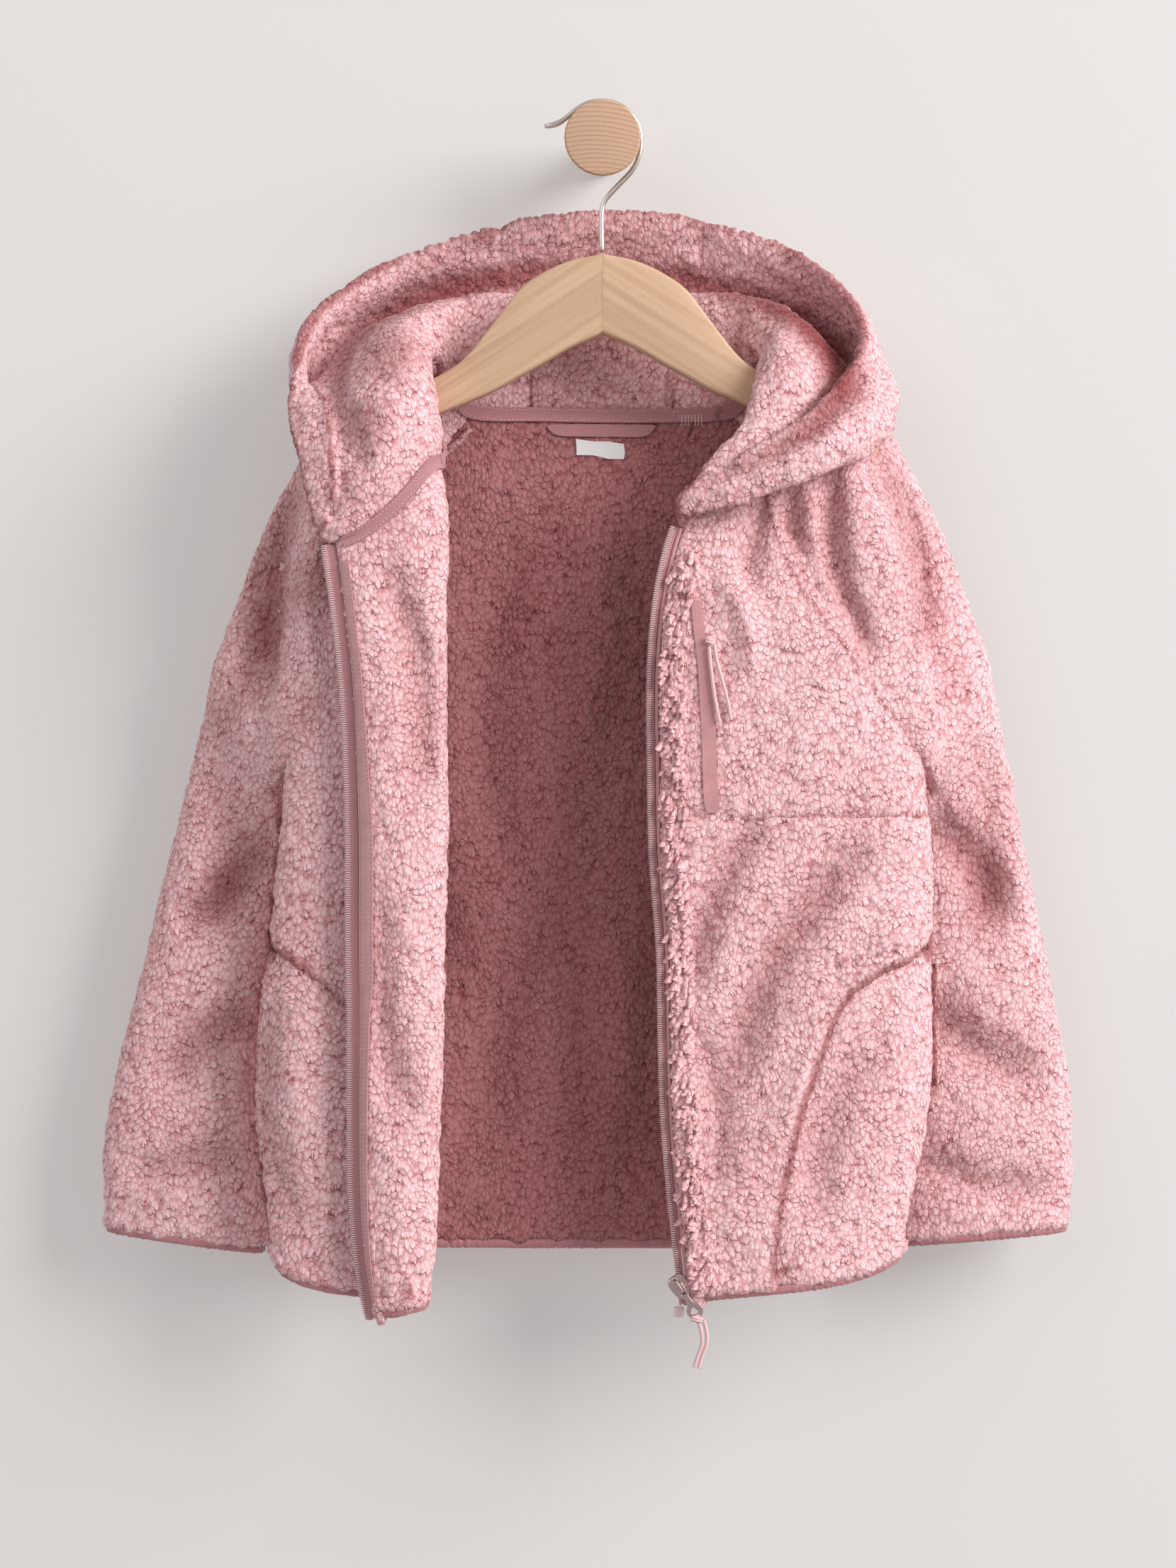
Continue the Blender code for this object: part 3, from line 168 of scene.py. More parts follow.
def linkObject(name, data):
    obj = bpy.data.objects.new(name, data)
    scene.collection.objects.link(obj)
    return obj


def aimAt(obj, target):
    obj.rotation_euler = (Vector(target) - obj.location).to_track_quat("-Z", "Y").to_euler()


def buildCamera():
    data = bpy.data.cameras.new("camera")
    data.lens, data.sensor_width = cameraFacts["lens"], cameraFacts["sensor"]
    data.clip_end = 50
    camera = linkObject("camera", data)
    camera.location = cameraFacts["place"]
    camera.rotation_euler = (math.pi / 2, 0, 0)
    scene.camera = camera


def buildStudio():
    scene.view_settings.view_transform = "Standard"
    world = bpy.data.worlds.new("studio")
    world.use_nodes = True
    sky = world.node_tree.nodes["Background"]
    sky.inputs["Color"].default_value = (*studio["sky"], 1)
    sky.inputs["Strength"].default_value = studio["skyPower"]
    scene.world = world
    for number, (place, target, size, power) in enumerate(studio["lamps"]):
        data = bpy.data.lights.new(f"lamp{number}", "AREA")
        data.size, data.energy = size, power
        lamp = linkObject(f"lamp{number}", data)
        lamp.location = place
        aimAt(lamp, target)
    # the wall shows from the room only, so that the back can be seen through it
    half = studio["wallSize"] / 2
    mesh = bpy.data.meshes.new("wall")
    corners = [(x * half, studio["wallDepth"], z * half) for x, z in ((-1, -1), (1, -1), (1, 1), (-1, 1))]
    mesh.from_pydata(corners, [], [(0, 1, 2, 3)])
    paint, tree, shader = newMaterial("wallPaint", 0.9)
    shader.inputs["Base Color"].default_value = (*studio["wall"], 1)
    shader.inputs["Emission Color"].default_value = (*studio["sky"], 1)
    shader.inputs["Emission Strength"].default_value = studio["wallGlow"]
    behind = addNode(tree, "ShaderNodeNewGeometry").outputs["Backfacing"]
    clear = made(tree, "ShaderNodeBsdfTransparent")
    seen = made(tree, "ShaderNodeMixShader", {0: behind, 1: shader.outputs[0], 2: clear})
    tree.links.new(seen, tree.nodes["Material Output"].inputs["Surface"])
    mesh.materials.append(paint)
    linkObject("wall", mesh)


buildCamera()
buildStudio()
print("studio and camera ready")


# Fleece: curly pile in clumps, drawn by the same pattern in the mesh and in the finish
pile = {
    "clump": 3.25 * mm, "nap": 0.7, "flow": 24.0, "flowReach": 7 * mm, "fray": 420.0, "frayReach": 1.4 * mm,
    "lean": (0.28, -0.12, -0.95), "gap": 0.17, "lump": 11 * mm, "lumpDepth": 2.4 * mm,
    "tuftDepth": 1.2 * mm,
    "voxel": 2.55 * mm, "voxels": {"front": 2.08 * mm, "pocket": 2.08 * mm, "hood": 2.3 * mm},
    # deep is painted shade in the gaps and low parts of the tufts, tip a painted highlight on their tips
    "deep": (0.30, 0.085, 0.10), "body": (0.71, 0.335, 0.355), "tip": (0.97, 0.665, 0.69),
    # tint of the painted shade that darkens the fleece
    "inside": (0.50, 0.33, 0.33),
}


def pilePattern(tree, place):
    # overlapping tufts that lean down, and the thin gaps between them, both 0 to 1
    bent = stretched(tree, place, 1, 1, pile["nap"])
    start = bent
    for scale, reach in ((pile["flow"], pile["flowReach"]), (pile["fray"], pile["frayReach"])):
        noise = noiseOf(tree, start, scale, 1.6)
        swing = vector2(tree, "SUBTRACT", noise["Color"], (0.5, 0.5, 0.5))
        bent = vector2(tree, "ADD", bent, scaled(tree, swing, reach * 2))
    clumps = {"Vector": bent, "Scale": 1 / pile["clump"]}
    cell = addNode(tree, "ShaderNodeTexVoronoi", clumps, feature="F1")
    local = scaled(tree, vector2(tree, "SUBTRACT", bent, cell.outputs["Position"]), 1 / pile["clump"])
    lean = {0: local, 1: pile["lean"]}
    tip = addNode(tree, "ShaderNodeVectorMath", lean, operation="DOT_PRODUCT").outputs["Value"]
    dome = minus(
        tree, 1.0, math2(tree, "POWER", times(tree, cell.outputs["Distance"], 1.2), 2.0), clamp=True,
    )
    tuft = plus(tree, times(tree, dome, 0.45), times(tree, plus(tree, tip, 0.5), 0.55), clamp=True)
    border = made(tree, "ShaderNodeTexVoronoi", clumps, feature="DISTANCE_TO_EDGE")
    gap = minus(tree, 1.0, math2(tree, "DIVIDE", border, pile["gap"]), clamp=True)
    under = plus(tree, times(tree, tip, 2.2), 0.25, clamp=True)
    return tuft, times(tree, gap, under)


def groupTree(name, values=()):
    # a geometry tree with its sockets. values: label and value of each number it takes
    tree = bpy.data.node_groups.new(name, "GeometryNodeTree")
    sockets = [("Geometry", "Geometry", "INPUT"), *((label, "Float", "INPUT") for label, _ in values)]
    sockets += [("Material", "Material", "INPUT"), ("Geometry", "Geometry", "OUTPUT")]
    for label, kind, way in sockets:
        tree.interface.new_socket(label, in_out=way, socket_type="NodeSocket" + kind)
    for label, value in values:
        tree.interface.items_tree[label].default_value = value
    return tree, tree.nodes.new("NodeGroupInput").outputs


def endTree(tree, geometry, material):
    whole = made(tree, "GeometryNodeRealizeInstances", {0: geometry})
    coated = made(tree, "GeometryNodeSetMaterial", {"Geometry": whole, "Material": material})
    tree.links.new(coated, tree.nodes.new("NodeGroupOutput").inputs[0])
    return tree


def fieldOf(tree, name, kind="FLOAT"):
    node = addNode(tree, "GeometryNodeInputNamedAttribute", {"Name": name}, data_type=kind)
    return node.outputs["Attribute"]


def kept(tree, geometry, name, value):
    inputs = {"Geometry": geometry, "Name": name, "Value": value}
    store = "GeometryNodeStoreNamedAttribute"
    return made(tree, store, inputs, data_type="FLOAT_VECTOR", domain="POINT")


def pileTree():
    tree, pin = groupTree("fleecePile")
    place = tree.nodes.new("GeometryNodeInputPosition").outputs[0]
    normal = tree.nodes.new("GeometryNodeInputNormal").outputs[0]
    cloth = kept(tree, pin["Geometry"], "rest", place)
    tuft, _ = pilePattern(tree, place)
    lump = noiseOf(tree, place, 1 / pile["lump"], 2.0)["Fac"]
    rise = times(tree, minus(tree, lump, 0.5), 2 * pile["lumpDepth"])
    rise = plus(tree, rise, times(tree, minus(tree, tuft, 0.4), pile["tuftDepth"]))
    rise = times(tree, rise, minus(tree, 1.0, fieldOf(tree, "bare")))
    inputs = {"Geometry": cloth, "Offset": scaled(tree, normal, rise)}
    return endTree(tree, made(tree, "GeometryNodeSetPosition", inputs), pin["Material"])


def fleeceMaterial():
    material, tree, shader = newMaterial("pinkFleece", 0.95, 0.2)
    shader.inputs["Sheen Roughness"].default_value = 0.4
    shader.inputs["Sheen Tint"].default_value = (1.0, 0.86, 0.87, 1)
    rest = attributeOf(tree, "rest")
    tuft, gap = pilePattern(tree, rest)
    patch = noiseOf(tree, rest, 130.0, 1.0)["Fac"]
    broken = times(tree, minus(tree, patch, 0.36), 3.6, clamp=True)
    # painted shadow in the gaps under each tuft's tip
    shadedCrack = times(tree, gap, plus(tree, times(tree, broken, 0.8), 0.2))
    fibre = noiseOf(tree, stretched(tree, rest, 1, 1, 0.45), 1100.0, 3.0, Roughness=0.6)["Fac"]
    broad = noiseOf(tree, rest, 14.0, 2.0)["Fac"]
    tone = plus(tree, times(tree, tuft, 0.58), times(tree, fibre, 0.3))
    tone = plus(tree, tone, times(tree, minus(tree, broad, 0.5), 0.22))
    tone = minus(tree, plus(tree, tone, 0.16), times(tree, shadedCrack, 0.85))
    # painted shade in the tufts' low parts and gaps, painted highlight at their tips
    colour = ramp(tree, tone, ((0.0, pile["deep"]), (0.38, pile["body"]), (0.82, pile["tip"])))
    # painted shade: the colour darkens towards that tint as far as the inside attribute says
    loss = [1 - share for share in pile["inside"]]
    darkened(tree, shader, colour, loss, attributeOf(tree, "inside", "Fac"))
    fuzz = plus(tree, tuft, times(tree, fibre, 0.45))
    fuzz = minus(tree, fuzz, times(tree, shadedCrack, 0.35))
    bumped(tree, shader, fuzz, 1.5 * mm, 0.9)
    return material


def faceWidth(face, edge):
    # how far the face reaches from this edge
    start = edge.verts[0].co
    along = (edge.verts[1].co - start).normalized()
    reach = 0.0
    for vert in face.verts:
        away = vert.co - start
        reach = max(reach, (away - along * away.dot(along)).length)
    return reach


def evaluated(obj):
    graph = bpy.context.evaluated_depsgraph_get()
    mesh = bpy.data.meshes.new_from_object(
        obj.evaluated_get(graph), preserve_all_data_layers=True, depsgraph=graph,
    )
    obj.modifiers.clear()
    old, obj.data = obj.data, mesh
    bpy.data.meshes.remove(old)
    return obj


# join, shape and sharp are angles in radians, weld is in metres, and wider is how much wider than
# the rim's own face the face on its other side has to be
form = {"weld": 2e-5, "join": 1.4, "shape": 1.5, "sharp": 0.6, "wider": 1.3, "onRim": 0.9}


def softened(obj, levels):
    soften = obj.modifiers.new("soften", "SUBSURF")
    soften.levels = soften.render_levels = levels
    return obj


def cleanNode(node, gap, faceAngle):
    # the node's triangles joined into larger faces where they are near flat
    bm = bmesh.new()
    bm.from_mesh(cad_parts[node].data)
    bmesh.ops.remove_doubles(bm, verts=bm.verts, dist=gap)
    bmesh.ops.join_triangles(
        bm, faces=bm.faces, angle_face_threshold=faceAngle, angle_shape_threshold=form["shape"],
    )
    return bm


def meshObject(name, bm):
    mesh = bpy.data.meshes.new(name)
    bm.to_mesh(mesh)
    bm.free()
    return linkObject(name, mesh)


def smoothForm(name, node, rimWidth, levels=2):
    # the node's surface rounded off between its sewn edges, with its rim's places and normals
    bm = cleanNode(node, form["weld"], form["join"])
    crease = bm.edges.layers.float.new("crease_edge")
    rim = bm.verts.layers.float.new("rim")
    for edge in bm.edges:
        if len(edge.link_faces) != 2 or edge.calc_face_angle(0) < form["sharp"]:
            continue
        widths = sorted(faceWidth(face, edge) for face in edge.link_faces)
        if widths[0] < rimWidth and widths[1] > form["wider"] * widths[0]:
            edge[crease] = 1
            for vert in edge.verts:
                vert[rim] = 1
    obj = softened(meshObject(name, bm), levels)
    evaluated(obj)
    places, normals = readMesh(obj.data)
    share = np.empty(len(places))
    obj.data.attributes["rim"].data.foreach_get("value", share)
    onRim = share > form["onRim"]
    return obj, places[onRim], normals[onRim]


def outwardAlong(rimPlaces, rimNormals, radius=3.2 * mm, least=0.35):
    # the direction in the cloth's own plane that leads off it, where its two faces cancel out
    tree = treeOf(rimPlaces)
    found = np.zeros(rimPlaces.shape)
    for number, place in enumerate(rimPlaces.tolist()):
        near = [index for _, index, _ in tree.find_range(place, radius)]
        mean = rimNormals[near].mean(0)
        found[number] = mean / max(np.linalg.norm(mean), least)
    return tree, found


def readMesh(mesh):
    places = np.empty(len(mesh.vertices) * 3)
    normals = np.empty(len(mesh.vertices) * 3)
    mesh.vertices.foreach_get("co", places)
    mesh.vertex_normals.foreach_get("vector", normals)
    return places.reshape(-1, 3), normals.reshape(-1, 3)


def writeMesh(mesh, places):
    mesh.vertices.foreach_set("co", places.astype(np.float32).ravel())
    mesh.update()


def remeshed(obj, voxel):
    even = obj.modifiers.new("even", "REMESH")
    even.mode, even.voxel_size, even.use_smooth_shade = "VOXEL", voxel, True
    return evaluated(obj)


def treeOf(points):
    tree = KDTree(len(points))
    for number, point in enumerate(points):
        tree.insert(point, number)
    tree.balance()
    return tree


def distanceTo(tree, places):
    return np.array([tree.find(place)[2] for place in places.tolist()])


def smoothStep(low, high, values):
    share = np.clip((values - low) / (high - low), 0, 1)
    return share * share * (3 - 2 * share)


def fadeOut(low, high, values):
    return 1 - smoothStep(low, high, values)


def besideSpot(places, x, z, radius):
    # how far each point is from a spot seen from the front, in radiuses. x, z and radius are in mm
    return np.hypot(places[:, 0] - x * mm, places[:, 2] - z * mm) / (radius * mm)


seamValley = {  # half thickness at a seam and beside it, and how far it acts
    "half": 1.4 * mm, "full": 3.3 * mm, "width": 9 * mm, "reach": 45 * mm, "skin": 0.2 * mm,
    "thickest": 12 * mm,
}


def puffBesideSeams(places, normals, polygons, distance):
    # brings the cloth to its full thickness close beside each seam
    surface = BVHTree.FromPolygons([Vector(p) for p in places], polygons)
    least, gain = seamValley["half"], seamValley["full"] - seamValley["half"]
    target = 2 * (least + gain * smoothStep(0, seamValley["width"], distance))
    push = np.zeros(len(places))
    for number in np.nonzero(distance < seamValley["reach"])[0]:
        start, normal = Vector(places[number]), Vector(normals[number])
        hit = surface.ray_cast(start - normal * seamValley["skin"], -normal, seamValley["thickest"])
        if hit[3] is not None:
            push[number] = max(0.0, (target[number] - hit[3] - seamValley["skin"]) / 2)
    return push


def finishPiece(obj, nodes, material, body="jacket"):
    if material:
        obj.data.materials.clear()
        obj.data.materials.append(material)
    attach(obj, body)
    if nodes:
        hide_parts(*nodes)
    return obj


def setAttribute(mesh, name, values, kind="FLOAT"):
    layer = mesh.attributes.get(name) or mesh.attributes.new(name, kind, "POINT")
    values = np.asarray(values, np.float32)
    layer.data.foreach_set("vector" if kind == "FLOAT_VECTOR" else "value", values.ravel())


def binned(places, index, count):
    # the mean place of each bin that holds any
    return np.array([places[index == k].mean(0) for k in range(count) if (index == k).any()])


def centreLine(places, axis, count):
    # the middle of a strip at even steps along one axis
    low, high = places[:, axis].min(), places[:, axis].max()
    edges = np.linspace(low, high, count + 1)
    index = np.clip(np.digitize(places[:, axis], edges) - 1, 0, count - 1)
    return binned(places, index, count)


def runOf(line):
    # how far along the line each of its points lies
    return np.concatenate([[0], np.cumsum(np.linalg.norm(np.diff(line, axis=0), axis=1))])


def headingOf(line):
    heading = np.gradient(line, axis=0)
    return heading / np.linalg.norm(heading, axis=1, keepdims=True)


def stripPlaces(obj, line):
    # gives a strip the attribute "weave": metres along its middle line, and across it
    places, _ = readMesh(obj.data)
    travelled = runOf(line)
    heading = headingOf(line)
    tree = treeOf(line)
    near = np.array([tree.find(place)[1] for place in places.tolist()])
    away = places - line[near]
    along = travelled[near] + (away * heading[near]).sum(1)
    side = np.cross(heading[near], (0, -1, 0))
    across = (away * side).sum(1) / np.maximum(np.linalg.norm(side, axis=1), 1e-6)
    setAttribute(obj.data, "weave", np.stack([along, across, np.zeros(len(along))], 1), "FLOAT_VECTOR")
    return along


# Cloth and trim finishes
finish = {
    "binding": (0.47, 0.19, 0.21), "tape": (0.53, 0.245, 0.265), "piping": (0.60, 0.295, 0.31),
    "welt": (0.60, 0.29, 0.305),
    "facing": (0.64, 0.335, 0.35), "teeth": (0.82, 0.60, 0.61), "label": (0.82, 0.82, 0.81),
    "thread": (0.74, 0.48, 0.49),
    "seamThread": (0.36, 0.155, 0.18), "cord": (0.80, 0.51, 0.52), "wale": 1.5 * mm,
}


def satinMaterial(name, colour, roughness=0.42):
    material, tree, shader = newMaterial(name, roughness, 0.25)
    shader.inputs["Sheen Roughness"].default_value = 0.4
    weave = attributeOf(tree, "weave")
    fine = noiseOf(tree, stretched(tree, weave, 1.0, 0.12, 1), 2200.0, 2.0)["Fac"]
    broad = noiseOf(tree, weave, 90.0, 2.0)["Fac"]
    tone = plus(tree, times(tree, fine, 0.5), times(tree, broad, 0.5))
    twoTone(tree, shader, tone, colour, (0.82, 1.16), (0.3, 0.7))
    bumped(tree, shader, fine, 0.12 * mm, 0.5)
    return material


def twillMaterial(name, colour, band=0.0):
    # diagonal wales that turn over at each band across the tape
    material, tree, shader = newMaterial(name, 0.8, 0.2)
    parts = axesOf(tree, attributeOf(tree, "weave"))
    across = parts["Y"]
    if band:
        across = math2(tree, "PINGPONG", across, band)
    lean = plus(tree, parts["X"], across)
    wave = math2(tree, "SINE", times(tree, lean, 2 * math.pi / finish["wale"]))
    yarn = math2(tree, "SINE", times(tree, minus(tree, parts["X"], across), 2 * math.pi / (0.6 * mm)))
    height = plus(tree, times(tree, wave, 0.36), times(tree, yarn, 0.14))
    height = plus(tree, height, 0.5)
    # painted shade in the weave's grooves and painted highlight on its wales
    twoTone(tree, shader, height, colour, (0.7, 1.2), (0.1, 0.8))
    bumped(tree, shader, height, 0.35 * mm, 0.8)
    return material


def plainMaterial(name, colour, roughness, sheen=0.0, metallic=0.0, grain=0.0, scale=900.0):
    material, tree, shader = newMaterial(name, roughness, sheen, metallic)
    noise = noiseOf(tree, objectPlace(tree), scale, 3.0)["Fac"]
    twoTone(tree, shader, noise, colour, (0.93, 1.06), (0.3, 0.7))
    if grain:
        bumped(tree, shader, noise, grain, 0.6)
    return material


# Trims that are sewn on: bindings, tapes, piping, facing, welt, neck tape, loop and label
gathered = ("hem_binding", "cuff_left", "cuff_right")
trims = {  # node: slot, rim width, levels, even mesh, line axis, finish
    **dict.fromkeys(gathered, ("binding", 0, 1, 1.3, 0, "binding")),
    "zip_piping": ("binding", 3.4, 2, 0, 2, "piping"),
    "zip_facing": ("binding", 3.4, 2, 0, 2, "facing"),
    "chest_welt": ("binding", 4.0, 2, 0, 2, "welt"),
    **dict.fromkeys(("zip_tape_left", "zip_tape_right"), ("tape", 3.0, 2, 0, 2, "tape")),
    "neck_tape": ("tape", 3.0, 2, 0, 0, "neck"),
    "hanging_loop": ("tape", 3.0, 2, 0, 0, "neck"),
    "label": ("label", 3.0, 0, 0, 0, "label"),
}
pucker = {"pitch": 4.2 * mm, "depth": 0.55 * mm}
finishes = {
    "binding": satinMaterial("bindingSatin", finish["binding"]),
    "piping": satinMaterial("pipingSatin", finish["piping"]),
    "facing": satinMaterial("facingSatin", finish["facing"], 0.5),
    "welt": satinMaterial("weltSatin", finish["welt"], 0.34),
    "tape": twillMaterial("zipTapeKnit", finish["tape"]),
    "neck": twillMaterial("herringboneTwill", finish["tape"], 2.6 * mm),
    "label": plainMaterial("labelSatin", finish["label"], 0.45, 0.3, grain=0.1 * mm, scale=2600.0),
}
trimObjects, trimPoints, trimLines = {}, [], {}


def puckered(obj, along):
    # gathers the binding in uneven upright folds
    places, normals = readMesh(obj.data)
    beat = along / pucker["pitch"]
    wave = np.sin(2 * np.pi * beat + 1.7 * np.sin(0.61 * beat) + 1.1 * np.sin(0.27 * beat + 2.0))
    wave += 0.5 * np.sin(3.3 * beat + 0.9 * np.sin(0.83 * beat))
    amount = pucker["depth"] * (0.55 + 0.45 * np.sin(0.37 * beat + 1.3 * np.sin(0.11 * beat)))
    writeMesh(obj.data, places + normals * (0.6 * wave * amount)[:, None])


def ringLine(places, count=60):
    # the middle of a cuff, round its own centre
    centre = places.mean(0)
    angle = np.arctan2(places[:, 1] - centre[1], places[:, 0] - centre[0])
    index = ((angle + np.pi) / (2 * np.pi) * count).astype(int) % count
    return binned(places, index, count)


def buildTrims():
    for node, (slot, rimWidth, levels, even, axis, look) in trims.items():
        obj, _, _ = smoothForm(node + "_cloth", node, rimWidth * mm, levels)
        if even:
            remeshed(obj, even * mm)
        places, _ = readMesh(obj.data)
        if node.startswith("cuff"):
            line = ringLine(places)
        elif node == "hem_binding":
            line = hemLine(places)
        else:
            line = centreLine(places, axis, 12 if node in ("label", "hanging_loop") else 60)
        along = stripPlaces(obj, line)
        if even:
            puckered(obj, along)
            places, _ = readMesh(obj.data)
        trimLines[node] = line
        trimPoints.append(places)
        finishPiece(obj, [node], finishes[look])
        trimObjects[node] = obj
    print("trims built:", len(trimObjects))


def hemLine(places, count=150):
    # the middle of the hem's binding, round the body from one front to the other
    centre = np.array([0.0, places[:, 1].mean()])
    angle = np.arctan2(places[:, 1] - centre[1], places[:, 0])
    turned = np.mod(angle + np.pi / 2, 2 * np.pi)
    index = np.minimum((turned / (2 * np.pi) * count).astype(int), count - 1)
    return binned(places, index, count)


def trimsTree(nodes, step):
    places = [readMesh(trimObjects[node].data)[0] for node in nodes]
    return treeOf(np.concatenate(places)[::step])


buildTrims()
for node in ("chest_cord_inner", "chest_cord_outer", "chest_cord_knot"):
    trimPoints.append(readMesh(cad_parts[node].data)[0].repeat(3, 0))
trimTree = treeOf(np.concatenate(trimPoints)[::3])
stripTree = trimsTree([node for node in trims if node.startswith("zip")], 2)
boundTree = trimsTree(gathered, 3)


# Fleece pieces, with their folds: x and z of both ends, depth towards the wall, width, side of a tube
folds = {
    "sleeve_left": (
        (152, -232, 176, -345, 3.6, 9, -1), (186, -216, 217, -340, 3, 13, -1),
        (126, -248, 146, -325, 3.2, 8, -1),
        (225, -462, 272, -530, 3.2, 15, -1), (225, -590, 290, -634, 2.6, 16, -1),
        (262, -420, 250, -540, 2, 16, -1),
        (212, -690, 300, -712, 1.8, 12, -1), (160, -215, 190, -330, -4, 11, 1),
        (222, -470, 275, -520, -3, 15, 1),
        (212, -600, 290, -640, -2.6, 16, 1), (230, -350, 262, -470, -2.4, 14, 1),
    ),
    "sleeve_right": (
        (-208, -237, -221, -360, 3.6, 11, -1), (-229, -279, -262, -404, 2.4, 14, -1),
        (-184, -250, -196, -360, -2, 9, -1), (-229, -478, -281, -530, 3.2, 15, -1),
        (-234, -593, -297, -634, 2.6, 16, -1), (-262, -430, -262, -520, 1.8, 15, -1),
        (-240, -690, -318, -706, 1.8, 12, -1),
        (-170, -225, -205, -340, -4, 12, 1), (-226, -470, -285, -525, -3, 15, 1),
        (-246, -610, -310, -650, -2.4, 15, 1),
    ),
    "front_right": (
        (-195, -248, -206, -384, 3.5, 9, 0), (-140, -300, -122, -436, 2.6, 13, 0),
        (-150, -520, -128, -660, 2, 14, 0),
    ),
    "front_left_upper": ((120, -235, 96, -300, 2.2, 9, 0), (84, -300, 98, -360, -1.6, 9, 0)),
    "front_left_lower": (
        (168, -483, 84, -634, 3.2, 15, 0), (199, -530, 126, -655, -2.6, 15, 0),
        (100, -467, 58, -567, 2.6, 11, 0),
        (62, -600, 76, -700, 1.6, 10, 0),
    ),
    "pocket_left": ((170, -620, 140, -720, 2, 14, 0),),
    "pocket_right": ((-225, -600, -210, -720, 2, 14, 0),),
    "back": (
        (-62, -279, -67, -488, 2.8, 20, 0), (-10, -253, -15, -410, -2.6, 18, 0),
        (-36, -514, -78, -671, 2.8, 19, 0),
        (11, -540, -5, -697, -2.4, 17, 0), (60, -300, 90, -520, 2.2, 24, 0),
        (120, -420, 70, -640, -2, 24, 0),
        (-130, -360, -110, -560, 2.4, 22, 0), (-170, -600, -120, -700, -2, 20, 0),
    ),
    "hood_left": ((150, -120, 176, -172, 1.6, 9, 0),),
    "hood_right": ((-150, -110, -180, -165, 1.6, 9, 0),),
    "hood_centre": (),
}
foldAmount, foldBow, foldShade, foldDark = 3.2, 0.07, 0.9, 14 * mm
seamShade = {  # painted shade in a seam's groove: how much, and how far it reaches
    "amount": 1.0, "full": 0.8 * mm, "none": 3.3 * mm, "wideFull": 1.4 * mm, "wideNone": 5 * mm,
    "wide": ("pocket_left", "pocket_right", "front_left_upper"), "armEnds": (-372 * mm, -350 * mm),
    "beside": {"front_left_lower": "pocket_left", "front_right": "pocket_right"},
}
bulges = {  # x, z, radius and sideways shift, to close the cloth on its neighbour
    "sleeve_right": ((-228, -715, 55, 6),),
    "pocket_left": ((119, -768, 14, -3.5),),
    "front_left_lower": ((113, -768, 14, 3),),
}
tube = {"cell": 12 * mm, "soft": 7 * mm, "share": 0.42}
hollow = (  # between the hood's roll and its inner roll: x, z, half width, depth, shade
    (-158, -222, 7, 3, 0.4), (-177, -186, 10, 5, 0.6), (-178, -153, 12, 6, 0.8), (-164, -127, 13, 7, 1.0),
    (-138, -110, 13, 7, 1.15),
    (-113, -98, 12, 6, 1.2), (-75, -88, 11, 5, 1.15), (0, -81, 10, 4, 1.1), (62, -89, 11, 5, 1.15),
    (103, -105, 13, 6, 1.2),
    (134, -121, 16, 8, 1.35), (157, -142, 17, 9, 1.4), (160, -173, 14, 8, 1.25), (140, -200, 9, 6, 1.0),
    (100, -224, 6, 4, 0.6),
    (72, -236, 4, 2, 0.4),
)
shadePatches = {  # x, z, radius, shade
    "hood_right": ((-144, -150, 36, 0.75), (-158, -195, 28, 0.6), (-110, -70, 50, 0.3)),
    "hood_left": ((120, -150, 26, 0.3), (150, -100, 50, 0.3)),
    "hood_centre": ((0, -150, 70, 0.35), (0, -60, 90, 0.35)),
    "sleeve_right": ((-196, -300, 34, 0.4), (-200, -400, 40, 0.3), (-205, -500, 40, 0.3)),
    "front_right": ((-205, -330, 22, 0.3),),
}


def tubeSpan(places):
    # the depth of a tube's middle and how deep the tube is, near each point
    cells = np.round(places[:, [0, 2]] / tube["cell"]).astype(int)
    keys, index = np.unique(cells, axis=0, return_inverse=True)
    index = index.reshape(-1)
    high, low = np.full(len(keys), -1.0), np.full(len(keys), 1.0)
    np.maximum.at(high, index, places[:, 1])
    np.minimum.at(low, index, places[:, 1])
    tree = treeOf([(x * tube["cell"], 0, z * tube["cell"]) for x, z in keys.tolist()])
    middle, span = np.zeros(len(places)), np.zeros(len(places))
    for number, (x, _, z) in enumerate(places.tolist()):
        near = tree.find_n((x, 0, z), 5)
        weight = np.array([1 / (found[2] + 0.3 * tube["cell"]) for found in near])
        weight /= weight.sum()
        cell = [found[1] for found in near]
        middle[number] = weight @ (high[cell] + low[cell]) / 2
        span[number] = weight @ (high[cell] - low[cell])
    return middle, span


def foldMove(name, places):
    # how far each point moves towards the wall for the folds of its piece
    move = np.zeros(len(places))
    flat = places[:, [0, 2]]
    middle, span = tubeSpan(places) if name.startswith("sleeve") else (0, 0)
    for number, (x0, z0, x1, z1, depth, width, side) in enumerate(folds[name]):
        start, run = np.array((x0, z0)) * mm, np.array((x1 - x0, z1 - z0)) * mm
        length = math.hypot(*run)
        share = ((flat - start) @ run) / length**2
        aside = (flat - start) @ np.array((run[1], -run[0])) / length
        bow = foldBow * length * np.sin(np.pi * np.clip(share, 0, 1)) * (-1) ** number
        fade = smoothStep(-0.25, 0.2, share) * fadeOut(0.8, 1.25, share)
        part = depth * mm * np.exp(-(((aside - bow) / (width * mm)) ** 2)) * fade
        if side:
            part = part * smoothStep(-tube["soft"], tube["soft"], side * (places[:, 1] - middle))
        move += part
    move *= foldAmount
    return np.clip(move, -tube["share"] * span, tube["share"] * span) if name.startswith("sleeve") else move


